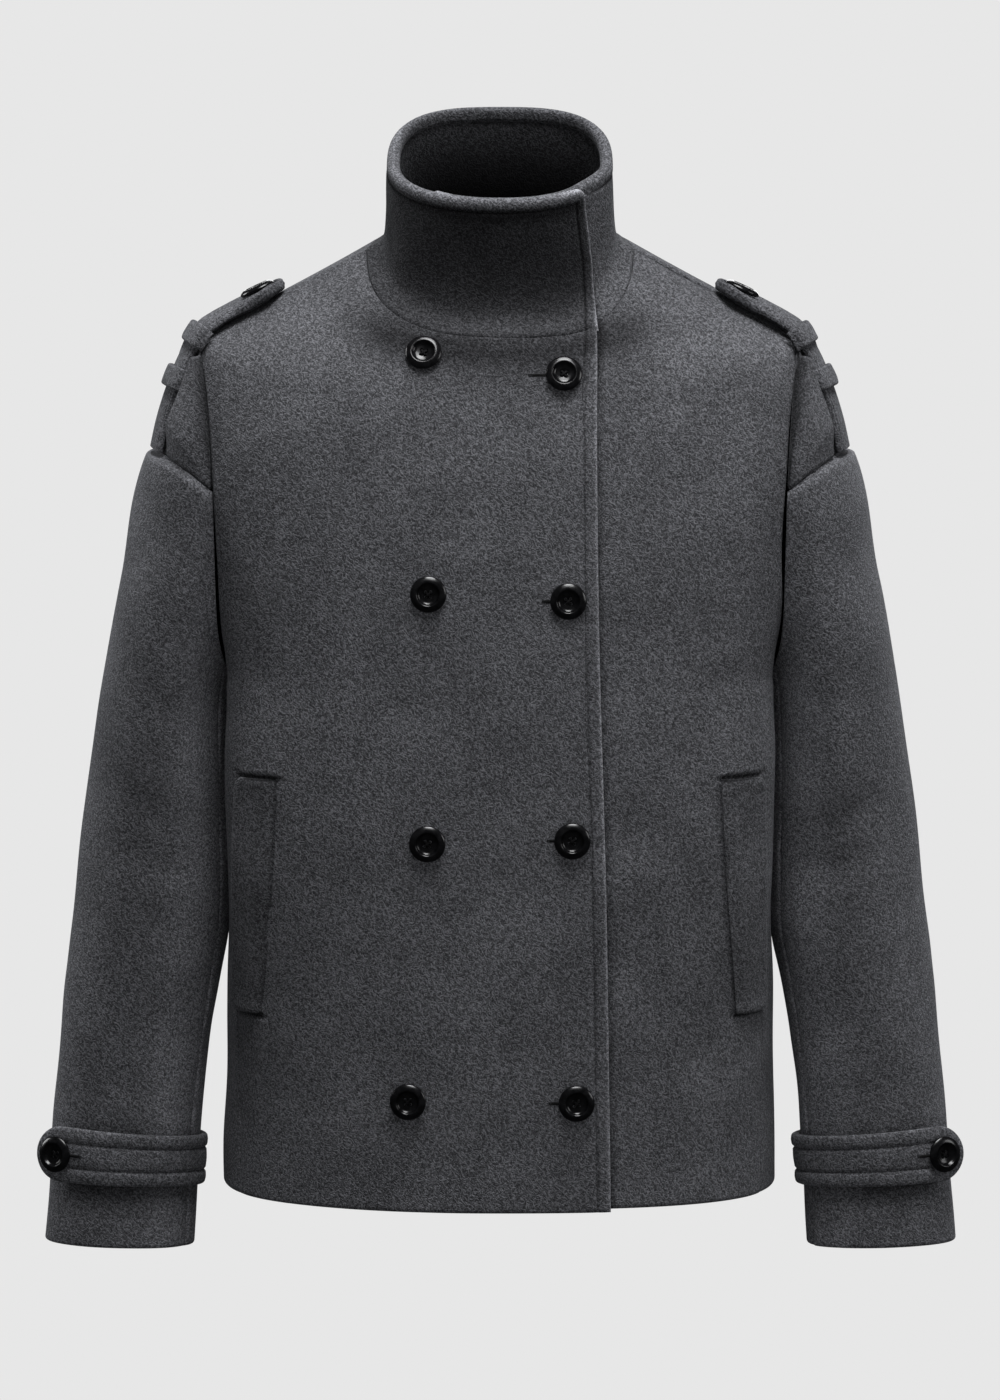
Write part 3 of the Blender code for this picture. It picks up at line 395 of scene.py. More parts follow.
def shellPoints(points, normals, thick, edges, relief, away):
    # outer and inner faces of a cloth wall whose borders are rolled ("roll") or sewn ("seam")
    thick = np.broadcast_to(np.asarray(thick, float), points.shape[:2])
    outerDrop, innerRise, pull = np.zeros(points.shape[:2]), np.zeros(points.shape[:2]), 0
    for side, kind in zip(("first", "last", "left", "right"), edges):
        far = away[side]
        if kind == "roll":
            drop = rise = thick / 2 * rounded(far, thick / 2)
        else:
            drop = seamLook["depth"] * rounded(far, seamLook["width"])
            rise = (thick - seamLook["depth"]) * rounded(far, seamLook["inside"])
            pull = pull + seamLook["pull"] * np.exp(-far / seamLook["pullWidth"])
        outerDrop, innerRise = np.maximum(outerDrop, drop), np.maximum(innerRise, rise)
    return joinBorders(points + normals * (relief - outerDrop - pull)[..., None],
                       points - normals * (thick - innerRise + pull)[..., None])


def finishPiece(made, finish, nodes=()):
    made.data.shade_smooth()
    made.data.materials.append(finish)
    show(made)
    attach(made, "root")
    if nodes:
        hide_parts(*nodes)


def newMesh(name, points, faces):
    mesh = bpy.data.meshes.new(name)
    mesh.from_pydata(points, [], faces)
    return mesh


def closedPiece(name, points, faces):
    # object whose faces are turned outwards
    mesh = newMesh(name, points, faces)
    work = bmesh.new()
    work.from_mesh(mesh)
    bmesh.ops.recalc_face_normals(work, faces=work.faces)
    work.to_mesh(mesh)
    work.free()
    return bpy.data.objects.new(name, mesh)


def ringQuads(index):
    # quads between the rows of a grid of point numbers whose last column meets its first
    ahead = np.roll(index, -1, 1)
    return np.stack([index[:-1], ahead[:-1], ahead[1:], index[1:]], -1).reshape(-1, 4)


def tubeFaces(index):
    # the quads of a tube, and its two ends
    return ringQuads(index).tolist() + [index[0][::-1].tolist(), index[-1].tolist()]


def wallMesh(name, outer, inner, side=1, dark=0.0, paintedShadeInside=0.45):
    # closed mesh of two grids that share their borders; "shade" holds painted shade (above 0) and painted highlight
    # (below 0), one value for the outer face and one for the inner face
    rows, cols = outer.shape[:2]
    first = np.arange(rows * cols).reshape(rows, cols)
    second = first.copy()
    second[1:-1, 1:-1] = rows * cols + np.arange((rows - 2) * (cols - 2)).reshape(rows - 2, cols - 2)
    points = np.concatenate([outer.reshape(-1, 3), inner[1:-1, 1:-1].reshape(-1, 3)]) * (side, 1, 1)

    def quads(index):
        return np.stack([index[:-1, :-1], index[:-1, 1:], index[1:, 1:], index[1:, :-1]], -1).reshape(-1, 4)

    front = np.cross(outer[1:, :-1] - outer[:-1, :-1], outer[:-1, 1:] - outer[:-1, :-1])
    outside = np.sum(front * (outer - inner)[:-1, :-1], axis=-1)
    flip = (np.median(outside[rows // 4:-rows // 4]) > 0) != (side < 0)
    a, b = quads(first), quads(second)[:, ::-1]
    mesh = newMesh(name, points, np.concatenate([a[:, ::-1], b[:, ::-1]] if flip else [a, b]))
    mesh.validate()
    face, back = (np.broadcast_to(np.asarray(v, float), outer.shape[:2]) for v in (dark, paintedShadeInside))
    shade = mesh.attributes.new("shade", "FLOAT", "POINT")
    shade.data.foreach_set("value", np.concatenate([face.ravel(), back[1:-1, 1:-1].ravel()]))
    return bpy.data.objects.new(name, mesh)


def creaseField(points, creases):
    # soft troughs (negative) and ridges: bell curves along and across a line through a point
    total = np.zeros(points.shape[:-1])
    for x, y, z, dx, dy, dz, length, width, height in creases:
        off = points - (x, y, z)
        along = off @ unit(np.array([dx, dy, dz], float))
        across = np.maximum(np.sum(off**2, axis=-1) - along**2, 0)
        total += height * np.exp(-((along / length) ** 2)) * np.exp(-across / width**2)
    return total


threadLook = {
    "stitch": 0.0027, "pitch": 0.0036, "width": 0.00065, "high": 0.0005,
    "rings": 5, "sides": 6, "roundness": 0.985, "ahead": 0.001,
}


def stitchRow(points, normals):
    # short raised stitches end to end along a line of points on the cloth
    f = threadLook
    run = runLength(points)
    count = max(2, int(run[-1] / f["pitch"]))
    at = (np.arange(count) + 0.5) / count * run[-1]

    def along(values, where):
        where = np.clip(where, 0, run[-1])
        return np.stack([np.interp(where, run, values[:, k]) for k in range(3)], axis=-1)

    centre, out = along(points, at), unit(along(normals, at))
    heading = unit(along(points, at + f["ahead"]) - along(points, at - f["ahead"]))
    across = unit(np.cross(out, heading))
    u = np.linspace(-1, 1, f["rings"])[:, None]
    v = np.linspace(0, 2 * np.pi, f["sides"], endpoint=False)[None, :]
    fat = np.sqrt(np.maximum(1 - (u * f["roundness"]) ** 2, 0))
    local = np.stack([u * f["stitch"] / 2 + 0 * v, fat * np.cos(v) * f["width"] / 2,
                      fat * np.sin(v) * f["high"] / 2], axis=-1)
    made = centre[:, None, None] + np.einsum("uvk,nkd->nuvd", local, np.stack([heading, across, out], axis=1))
    ring = np.arange(f["rings"] * f["sides"]).reshape(f["rings"], f["sides"])
    return made.reshape(count, -1, 3), (ringQuads(ring), ring[:1, ::-1], ring[-1:])


def stitchMesh(name, rows, side=1):
    points, faces, start = [], [], 0
    for made, groups in rows:
        count, size = made.shape[:2]
        for group in groups:
            shifted = group[None] + (start + size * np.arange(count))[:, None, None]
            faces += shifted.reshape(-1, group.shape[-1])[:, ::side].tolist()
        points.append(made.reshape(-1, 3) * (side, 1, 1))
        start += count * size
    return bpy.data.objects.new(name, newMesh(name, np.concatenate(points), faces))


frontLook = {
    "thick": 0.003, "edgeThick": 0.005, "hemThick": 0.0055, "hemSpan": (0.025, 0.020), "edgeSpan": (0, 0.22),
    "coarse": (76, 38), "rows": 0.0046, "columns": 66, "seeds": {True: 3, False: 8},
    "edgeSteps": [0.0035, 0.0050, 0.0070, 0.0082, 0.0088, 0.0094, 0.0100, 0.0106, 0.0112, 0.0118, 0.0132, 0.0155],
    # finer rows at the pocket's slits: beside the seam, below, above and apart
    "besideSeam": (-0.006, 0.040), "fineRows": (-0.0042, 0.0045, 0.0007),
    "stitchIn": 0.010, "stitchDeep": 0.0011, "stitchWide": 0.0012, "stitchFrom": 0.004,
    "waves": 0.0007, "waveLength": 0.085, "edgeWaves": 0.3, "waveSpan": (0, 0.03),
    "edgePad": (0.0004, 0.0055, 0.003),
    "buttonDimple": 0.0009, "dimpleRadius": 0.008, "calmRadius": 0.022,
    # the upper front's hem hangs lower near its edge, and the under front lies further in
    "hemDip": 0.0015, "dipTurn": (0, 0.5), "dipHigh": (0, 0.03), "underIn": 0.0058, "underShare": 0.8,
    # the neck seam falls towards the upper front's edge: share, from turn, over
    "neckDrop": (0.0, -0.0028, -0.0062), "neckSteps": ((0.62, 0.12, 0.34), (0.38, 0.40, 0.07)),
    "neckSpan": (0, 0.035),
    # painted shade (above 0) and painted highlight (below 0): shadow below the neck seam, shade by the armhole and
    # along its seam, shade in the stitch groove, shadow beside the upper front's edge on the under front, and a
    # highlight along that edge
    "neckAway": (0.0, 0.005, 0.017, 0.024, 0.031, 0.045, 0.060), "neckShadow": (0.55, 0.60, 0.75, 0.65, 0.45, 0.15, 0),
    "neckLevel": (1.9, 0.2), "neckTurn": (0.40, 0.5),
    "edgeHighlight": -1.3, "edgeWide": 0.0016, "stitchShade": 0.22, "underShadow": 0.55, "underLine": (0.0004, 0.0026),
    "armShade": 0.13, "armSpan": (0, 0.045), "armSeam": 0.5, "armSeamWide": 0.0022, "armLevel": (0.9, 0.3),
    # soft troughs and ridges: place, heading, length, width, height
    "creases": [
        (0.178, -0.088, -0.262, 0.55, -0.2, 0.80, 0.045, 0.010, -0.0012),
        (0.165, -0.098, -0.300, 0.75, -0.3, 0.60, 0.040, 0.011, -0.0010),
        (0.150, -0.108, -0.235, 0.40, -0.2, 0.90, 0.050, 0.014, 0.0008),
        (0.120, -0.120, -0.560, 0.10, 0.0, 1.00, 0.090, 0.020, 0.0010),
        (0.055, -0.138, -0.630, -0.05, 0.0, 1.00, 0.080, 0.016, -0.0009),
        (0.100, -0.095, -0.118, 0.90, 0.1, -0.25, 0.050, 0.018, 0.0009),
    ],
}

weltForm = {
    "z": (-0.5425, -0.4570, -0.3705), "seamX": (0.1690, 0.1625, 0.1570),
    "width": 0.040, "thick": 0.0032, "corner": 0.009, "rows": 0.0035, "farTurn": 1.15,
    "sewnSteps": (0, 0.0004, 0.001, 0.002, 0.003, 0.0045), "flat": (0.006, 0.003, 14),
    "riseSpan": (0, 0.012), "lift": (0.0001, 0.0007), "sewnShare": 0.12, "pad": (0.0008, 0.004, 0.003),
    "padSpan": (0, 0.01), "waves": (0.0004, 0.06, 51),
    # on the upper and on the under front; "dark" is painted shade over the plate, "edgeShare" and "sewnPart" share
    # out the painted edge highlight and sewn-edge shade
    "full": {True: 1.0, False: 0.7}, "dark": {True: 0.20, False: 0.05}, "edgeShare": {True: 1, False: 0.4},
    "sewnPart": {True: 1, False: 0.3},
    # painted highlight along the free edge, painted shade along the sewn edge, and painted shadow at the ends
    "edgeHighlight": -1.3, "edgeWide": 0.0020, "sewnShade": 0.30, "sewnLine": (0.001, 0.0022),
    "endShadow": 0.8, "endWide": 0.0015, "endEase": 0.006, "endLong": (0.015, 0.026),
    # the slit in the front, below and above the welt: a groove with painted shadow in it, and a lip with a painted
    # highlight above the upper slit
    "slitFrom": (-0.002, 0.003), "slitTo": (0.026, 0.006), "slitAway": 0.0012, "slitWide": 0.0019,
    "slitDeep": 0.0020, "slitShadow": 0.95, "lipAway": 0.0046, "lipWide": 0.0012, "lipHigh": 0.0007, "lipHighlight": -0.35,
}


seamSteps = [0.0003, 0.0007, 0.0014, 0.0023, 0.0033, 0.0055, 0.009]
neckSteps = [0.0003, 0.0007, 0.0015, 0.0026, 0.0042]
hemSteps = (0.002, 0.005, 0.009)
insideDrop = 0.10                    # the body's normals point away from this far below


def bodyPiece(look, form, starts, ends, steps, borders, fineAt=()):
    # the form between two turns, settled, then sampled finely with its outer borders put back
    high, wide = look["coarse"]
    turns = np.array([evenTurns(form, l, a, b, wide) for l, a, b in zip(allLevels, starts, ends)])
    levels = allLevels[:, None] + 0 * turns
    grid = np.concatenate([form(levels, turns), levels[..., None], turns[..., None]], axis=-1)
    grid = settle(evenRows(grid, high))
    total = runLength(grid[..., :3])[-1].mean()
    along = np.linspace(0, total, high)
    extra = [np.interp(level, grid[:, -1, 3], along) for level in (1.0, 2.0)]
    for nearX, farX, z in fineAt:
        spots = [np.interp(z, line[:, 2], along) for line in grid.transpose(1, 0, 2)
                 if nearX < np.interp(z, line[:, 2], line[:, 0]) < farX]
        below, above, apart = look["fineRows"]
        extra += list(np.arange(min(spots) + below, max(spots) + above, apart))
    at = lineUp(total, roundSteps(look["hemThick"] / 2, hemSteps), neckSteps, look["rows"], extra)
    fine = finePatch(grid, at / total, *steps, look["columns"])
    away = sideDistances(fine[..., :3])
    for (side, border), column in zip(borders.items(), (0, -1)):
        shift = border(fine[:, column, 3]) - fine[:, column, :3]
        fine[..., :3] += shift[:, None] * (1 - ease(away[side] / 0.020))[..., None]
    return fine


allLevels = np.concatenate([np.linspace(0, 1, 70), np.linspace(1, 2, 110)[1:], np.linspace(2, 3, 50)[1:]])


def buttonAxes(name):
    # seat and outward axis of a button, from its solid's own points
    points = np.array([v.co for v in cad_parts[name].data.vertices])
    centre = points.mean(axis=0)
    axis = np.linalg.svd(points - centre)[2][-1]
    toward = (0.0, -1.0, 0.0)
    if "shoulder" in name:
        toward = (0.0, 0.0, 1.0)
    if "cuff" in name:
        toward = (0.5 * np.sign(centre[0]), -0.85, 0.0)
    axis = axis * np.sign(axis @ np.array(toward))
    if "shoulder" in name:
        axis = unit(axis * (1, 0, 1) + (0, 0.03, 0))      # upright across the strap, as its scene form is
    low = ((points - centre) @ axis).min()
    sunk = strapForm["buttonSunk"] if "shoulder" in name else 0.0
    return centre + axis * (low - sunk), axis


def neckFall(turn):
    # share of the neck seam's drop, in two easy steps
    return sum(share * ease((turn - start) / over) for share, start, over in frontLook["neckSteps"])


def makeFront(name, side, upper):
    look, welt = frontLook, weltForm
    slits = [(welt["z"][k], welt["seamX"][k], sign) for k, sign in ((0, -1), (-1, 1))]
    near, far = look["besideSeam"]
    fine = bodyPiece(look, body, -edgeTurn(allLevels), outerTurn(allLevels, "front"),
                     (roundSteps(look["edgeThick"] / 2) + look["edgeSteps"], seamSteps),
                     {"left": lambda l: body(l, -edgeTurn(l)), "right": lambda l: body(l, outerTurn(l, "front"))},
                     [(seam + near, seam + far, z) for z, seam, _ in slits])
    points, level, turn = fine[..., :3], fine[..., 3], fine[..., 4]
    normals = outwardNormals(points, middleAxis(points, insideDrop))
    away = sideDistances(points)
    mirror = np.array([side, 1, 1])
    fromEdge = turn - edgeTurn(level)
    if upper:
        dip = (1 - eased(turn, look["dipTurn"])) * (1 - eased(away["first"], look["dipHigh"]))
        points = points - (0, 0, look["hemDip"]) * dip[..., None]
        fall = neckFall(-turn) * (1 - eased(away["last"], look["neckSpan"]))
        points = points + np.array(look["neckDrop"]) * fall[..., None]
    else:
        inside = 1 - ease(fromEdge / (look["underShare"] * (1 - edgeTurn(level))))
        points = points - normals * (look["underIn"] * inside)[..., None]
    wall = look["thick"] + (look["edgeThick"] - look["thick"]) * (1 - eased(fromEdge, look["edgeSpan"]))
    wall = np.maximum(wall, look["hemThick"] * (1 - eased(away["first"], look["hemSpan"])))
    relief = softWaves(points * mirror, look["waves"], look["waveLength"], look["seeds"][upper])
    relief += creaseField(points, look["creases"])
    if upper:
        # waves fade out round each button, which sits in a dimple
        calm = np.ones_like(relief)
        for number in range(1, 9):
            off = np.sum((points * mirror - buttonAxes(f"button_front_{number}")[0]) ** 2, axis=-1)
            calm *= 1 - np.exp(-off / look["calmRadius"]**2)
            relief -= look["buttonDimple"] * np.exp(-off / look["dimpleRadius"]**2)
        relief = relief * calm - look["buttonDimple"] * (1 - calm)
    relief *= eased(away["left"], look["waveSpan"]) * (1 - look["edgeWaves"]) + look["edgeWaves"]
    stitched = bump(away["left"], look["stitchIn"], look["stitchWide"])
    padHigh, padIn, padWide = look["edgePad"]
    relief -= look["stitchDeep"] * stitched
    relief += padHigh * bump(away["left"], padIn, padWide)
    # painted shade and highlight, from the table above
    shade = np.interp(away["last"], look["neckAway"], look["neckShadow"]) * eased(level, look["neckLevel"])
    shade *= 1 - eased(np.abs(turn), look["neckTurn"])
    if upper:
        shade += look["edgeHighlight"] * bump(away["left"], 0.0, look["edgeWide"])
        shade += look["stitchShade"] * stitched
    else:
        beside = points[..., 0] - smoothCurve(bodyForm["edgeZ"], bodyForm["edgeX"], points[..., 2])
        shade += look["underShadow"] * bump(beside, *look["underLine"])
    byArm = eased(level, look["armLevel"])
    shade += look["armShade"] * (1 - eased(away["right"], look["armSpan"])) * byArm
    shade += look["armSeam"] * bump(away["right"], 0.0, look["armSeamWide"]) * byArm
    shade = np.minimum(shade, 0.9)
    for z, seam, sign in slits:
        reach = eased(points[..., 0] - seam, welt["slitFrom"]) * (1 - eased(points[..., 0] - seam, welt["slitTo"]))
        slit = reach * bump(points[..., 2], z + sign * welt["slitAway"], welt["slitWide"])
        lip = reach * bump(points[..., 2], z + sign * welt["lipAway"], welt["lipWide"])
        relief += welt["lipHigh"] * lip - welt["slitDeep"] * slit
        # painted shadow in each slit, and a painted highlight on the upper slit's lip
        shade += welt["slitShadow"] * slit + welt["lipHighlight"] * lip * (sign > 0)
    outer, inner = shellPoints(points, normals, wall, ("roll", "seam", "roll", "seam"), relief, away)
    column = int(np.argmin(np.abs(away["left"][40] - look["stitchIn"])))
    rows = away["first"][:, column] > look["stitchFrom"]
    return wallMesh(name, outer, inner, side, np.minimum(shade, 0.96)), (outer[rows, column], normals[rows, column])


backLook = {
    "thick": 0.003, "hemThick": 0.0055, "hemSpan": (0.025, 0.020), "waves": 0.0009, "waveLength": 0.095,
    "coarse": (76, 61), "rows": 0.0052, "columns": 92, "seed": 5, "creaseShare": 1.5,
    "creases": [
        (0.150, 0.100, -0.270, 0.60, 0.2, 0.75, 0.055, 0.013, -0.0017),
        (0.168, 0.090, -0.320, 0.80, 0.2, 0.50, 0.045, 0.012, -0.0014),
        (-0.155, 0.098, -0.262, -0.55, 0.2, 0.80, 0.050, 0.014, -0.0016),
        (-0.160, 0.094, -0.335, -0.85, 0.2, 0.45, 0.040, 0.011, -0.0012),
        (0.060, 0.118, -0.500, 0.06, 0.0, 1.00, 0.120, 0.022, 0.0014),
        (-0.072, 0.118, -0.540, -0.08, 0.0, 1.00, 0.100, 0.020, 0.0012),
        (-0.010, 0.119, -0.420, 0.03, 0.0, 1.00, 0.090, 0.018, -0.0010),
        (0.000, 0.119, -0.075, 1.00, 0.0, 0.02, 0.070, 0.012, -0.0010),
    ],
}


def makeBack():
    look = backLook

    def fromBack(level, r):
        return body(level, np.where(np.asarray(r) < 0, -1, 1) * (2 - np.abs(r)))

    def reach(level):
        return 2 - np.where(level < 1, outerTurn(level, "front"), outerTurn(level, "back"))

    fine = bodyPiece(look, fromBack, -reach(allLevels), reach(allLevels), (seamSteps, seamSteps),
                     {"left": lambda l: fromBack(l, -reach(l)), "right": lambda l: fromBack(l, reach(l))})
    points = fine[..., :3]
    normals = outwardNormals(points, middleAxis(points, insideDrop))
    away = sideDistances(points)
    wall = np.maximum(look["thick"], look["hemThick"] * (1 - eased(away["first"], look["hemSpan"])))
    relief = softWaves(points, look["waves"], look["waveLength"], look["seed"])
    relief = relief + look["creaseShare"] * creaseField(points, look["creases"])
    return wallMesh("clothBack", *shellPoints(points, normals, wall, ("roll", "seam", "seam", "seam"), relief, away))


collarForm = {
    "rimHalf": 0.0800, "rimFront": 0.0640, "rimBack": 0.0620, "rimSideZ": 0.0625,
    "leanFront": 0.36, "leanBack": 0.53, "ovalFront": 0.90, "ovalBack": 0.70, "hollow": 0.0075, "hollowTop": 0.92,
    # height shares over which the flare turns up, in front and at the side
    "bend": 0.09, "bendSide": 0.045, "steady": 0.2,
    # turn at which the collar ends: at its seam, and its upper end share by share
    "endTurn": 0.47, "endShares": (0.0, 0.05, 0.10, 0.25, 0.50, 0.75, 1.0),
    "endTurns": (0.47, 0.52, 0.553, 0.58, 0.57, 0.55, 0.53), "leanSpan": (0.05, 0.42),
    "thick": 0.006, "rimThick": 0.0086, "neckThick": 0.005, "rimSpan": (0.0085, 0.004), "neckSpan": (0, 0.02),
    "corner": 0.0075, "layerGap": 0.0008, "columns": 0.0040, "middleRows": 15,
    # steps in from the ends, up from the seam and down from the rim
    "endSteps": [0.0040, 0.0055, 0.0070, 0.0080, 0.0087, 0.0095, 0.0103, 0.0110, 0.0125],
    "lowSteps": [0.0004, 0.0008, 0.0015, 0.0024, 0.0034, 0.0060, 0.0090, 0.0125],
    "rimSteps": [0.0056, 0.0070, 0.0084, 0.0094, 0.0101, 0.0106, 0.0110, 0.0114, 0.0119, 0.0126, 0.0136, 0.0155,
                 0.0180],
    # where the lower layer slips under the upper one, and how far up the neck seam's drop reaches
    "slipTurn": 0.42, "slipLean": 0.09, "slipHigh": (0, 0.2), "slipOver": 0.40, "dropHigh": (0, 0.30),
    "uprightHigh": 0.07, "tuckLong": 0.0030, "tuckUnder": 0.0007,
    "stitchIn": 0.011, "endStitchIn": 0.0095, "stitchDeep": 0.0012, "stitchWide": 0.0011, "stitchInside": 0.8,
    "stitchEnds": (0.006, 0.004), "stitchBelow": (0.008, 0.004), "shownFrom": 0.1,
    "pad": (0.0006, 0.0055, 0.0045), "waves": (0.0005, 0.05, 11), "wavesUnder": 0.6, "waveSpan": (0, 0.02),
    "creases": [
        (-0.0800, -0.022, 0.010, 0.10, -0.55, -0.80, 0.030, 0.006, -0.0016),
        (0.0800, -0.020, 0.008, -0.10, -0.55, -0.80, 0.026, 0.006, -0.0012),
    ],
    # painted shade up from the seam, on the outer and the inner face, with a painted highlight (below 0) at the rim;
    # how much of it each turn round the neck gets, and painted shade in the stitch groove
    "darkShares": (0.0, 0.05, 0.12, 0.20, 0.28, 0.80, 0.885, 0.93, 0.97, 1.0),
    "dark": (0.60, 0.52, 0.63, 0.77, 0.81, 0.81, 0.84, 0.42, -0.15, -0.45),
    "paintedShadeInside": (0.50, 0.90, 0.98, 0.99, 0.98, 0.66, 0.54, 0.46, 0.25, -0.1),
    "darkTurns": (1.2, 1.7, 2.4, 2.9), "darkRound": (1.0, 0.50, 0.50, 0.38), "grooveShade": 0.35,
    # a painted highlight on the upper end's edge, and painted shadow beside it on the layer under it
    "endHighlight": -2.2, "endWide": 0.0022, "endSpan": (0.012, 0.01), "besideShadow": 0.50, "beside": (0.004, 0.030),
}


def collarFace(share, turn):
    # the neck seam drawn up to the rim's oval: steep flare at the seam, then almost straight, hollow in front
    c = collarForm
    share, turn = np.broadcast_arrays(np.asarray(share, float), np.asarray(turn, float))
    seam = body(np.full_like(turn, 3.0), turn)
    toFront = np.abs(turn) <= 1
    angle = np.where(toFront, np.abs(turn), 2 - np.abs(turn)) * np.pi / 2
    oval = np.where(toFront, c["ovalFront"], c["ovalBack"])
    x = np.sign(turn) * c["rimHalf"] * np.abs(np.sin(angle)) ** oval
    y = np.where(toFront, -c["rimFront"], c["rimBack"]) * np.abs(np.cos(angle)) ** oval
    rim = np.stack([x, y, c["rimSideZ"] + np.where(toFront, c["leanFront"], c["leanBack"]) * y], axis=-1)
    bend = c["bend"] + (c["bendSide"] - c["bend"]) * np.sin(angle) ** 4
    flare = c["steady"] * (1 - share) + (1 - c["steady"]) * np.exp(-share / bend)
    out = rim + (seam - rim) * flare[..., None]
    out[..., 2] = seam[..., 2] + (rim[..., 2] - seam[..., 2]) * share
    front = np.where(toFront, np.cos(angle) ** 2, 0.0)
    out[..., 1] += c["hollow"] * front * np.sin(np.pi * np.clip(share / c["hollowTop"], 0, 1))
    return out


def bodyTopNormals(turn):
    # the body's outward normals at the neck seam
    along = body(3.0, turn + 0.01) - body(3.0, turn - 0.01)
    up = body(3.0, turn) - body(2.9, turn)
    found = unit(np.cross(along, up))
    flat = body(3.0, turn) * (1, 1, 0)
    return found * np.sign(np.sum(found * flat, axis=-1, keepdims=True))


def makeCollar():
    c = collarForm

    def wrapped(position):
        return np.where(position < -2, position + 4, position)

    # columns round the neck from the upper end to the lower one, and rows from the seam to the rim
    dense = np.linspace(c["endTurn"], -4 - c["endTurn"], 2600)
    run = runLength(collarFace(0.5 + 0 * dense, wrapped(dense)))
    cap = roundSteps(c["thick"] / 2) + c["endSteps"]
    at = lineUp(run[-1], cap, cap, c["columns"])
    position = np.interp(at, run, dense)
    turn = wrapped(position)
    tall = runLength(collarFace(np.linspace(0, 1, 60)[:, None], turn[None, :]))[-1]
    fromEnd = np.minimum(at, run[-1] - at)
    low, rim = c["lowSteps"], np.array(roundSteps(c["rimThick"] / 2) + c["rimSteps"])[::-1]
    rows = []
    for height, down in zip(tall, cornerCut(c["corner"], fromEnd)):
        upper = height - down - rim
        middle = np.linspace(low[-1], upper[0], c["middleRows"] + 2)[1:-1]
        rows.append(np.concatenate([low, middle, upper]) / height)
    share = np.array(rows).T
    endAt = smoothCurve(c["endShares"], c["endTurns"], share)
    onRing = turn[None, :] + (endAt - c["endTurn"]) * eased(position, c["leanSpan"])[None, :]
    points = collarFace(share, onRing)
    normals = outwardNormals(points, middleAxis(points))
    above = bodyTopNormals(turn)
    away = sideDistances(points)
    below = np.maximum(tall[None, :] * (1 - share), 0)         # down from the full rim line
    ends = fromEnd[None, :] + 0 * share
    outline = cornerDistance(c["corner"], ends, below)
    wall = c["thick"] + (c["rimThick"] - c["thick"]) * (1 - eased(below, c["rimSpan"]))
    wall = wall + (c["neckThick"] - c["thick"]) * (1 - eased(away["first"], c["neckSpan"]))
    # the lower layer lies further in by a wall and a gap
    begin = -4 + c["endTurn"]
    slip = begin + c["slipTurn"] + c["slipLean"] * eased(share, c["slipHigh"]) - position[None, :]
    under = ease(slip / c["slipOver"])
    fall = neckFall(position)[None, :] * (1 - eased(share, c["dropHigh"]))
    points = points + np.array(frontLook["neckDrop"]) * fall[..., None]
    upright = np.clip(share / c["uprightHigh"], 0, 1)[..., None]
    inward = unit(normals * upright + above[None] * (1 - upright))
    points = points - inward * ((wall + c["layerGap"]) * under)[..., None]
    padHigh, padIn, padWide = c["pad"]
    relief = padHigh * bump(below, padIn, padWide)
    line = np.maximum(bump(below, c["stitchIn"], c["stitchWide"]) * eased(ends, c["stitchEnds"]),
                      bump(ends, c["endStitchIn"], c["stitchWide"]) * eased(below, c["stitchBelow"]))
    relief -= c["stitchDeep"] * line
    relief += softWaves(points, *c["waves"]) * eased(below, c["waveSpan"]) * (1 - c["wavesUnder"] * under)
    relief += creaseField(points, c["creases"]) * (1 - under)
    hollowWall = wall - c["stitchDeep"] * c["stitchInside"] * line
    drop = wall / 2 * rounded(outline, wall / 2)
    seam = rounded(away["first"], seamLook["width"])
    rise = (hollowWall - seamLook["depth"]) * rounded(away["first"], seamLook["inside"])
    outer, inner = joinBorders(points + normals * (relief - np.maximum(drop, seamLook["depth"] * seam))[..., None],
                               points - normals * (hollowWall - np.maximum(drop, rise))[..., None])
    # the neck edge runs on into the body's edge, as its seam allowance does
    along = unit(above * above[:, 2:] - (0, 0, 1))
    outer[0] = inner[0] = outer[0] + along * c["tuckLong"] - above * c["tuckUnder"]
    # painted shade and highlight on the collar, from the table above
    dark = smoothCurve(c["darkShares"], c["dark"], share)
    dark = dark * np.interp(-position, c["darkTurns"], c["darkRound"])[None, :]
    dark += c["grooveShade"] * line * (dark > 0)
    dark += c["endHighlight"] * bump(outline, 0.0, c["endWide"]) * (1 - eased(ends, c["endSpan"]))
    dark += c["besideShadow"] * bump(onRing - endAt, *c["beside"]) * (position < -3)[None, :]
    made = wallMesh("clothCollar", outer, inner, 1, np.clip(dark, -2.2, 0.95),
                    smoothCurve(c["darkShares"], c["paintedShadeInside"], share))
    # stitch lines: along the rim outside, down the upper end, and along the rim inside
    row = int(np.argmin(np.abs(below[:, len(at) // 2] - c["stitchIn"])))
    column = int(np.argmin(np.abs(at - c["endStitchIn"])))
    pick = np.arange(len(at)) >= column
    shown = pick & (position > begin + c["shownFrom"])
    return made, [(outer[row, shown], normals[row, shown]),
                  (outer[4:row, column][::-1], normals[4:row, column][::-1]),
                  (inner[row, pick][::-1], -normals[row, pick][::-1])]


def inRadians(*degrees):
    return tuple(math.radians(d) for d in degrees)


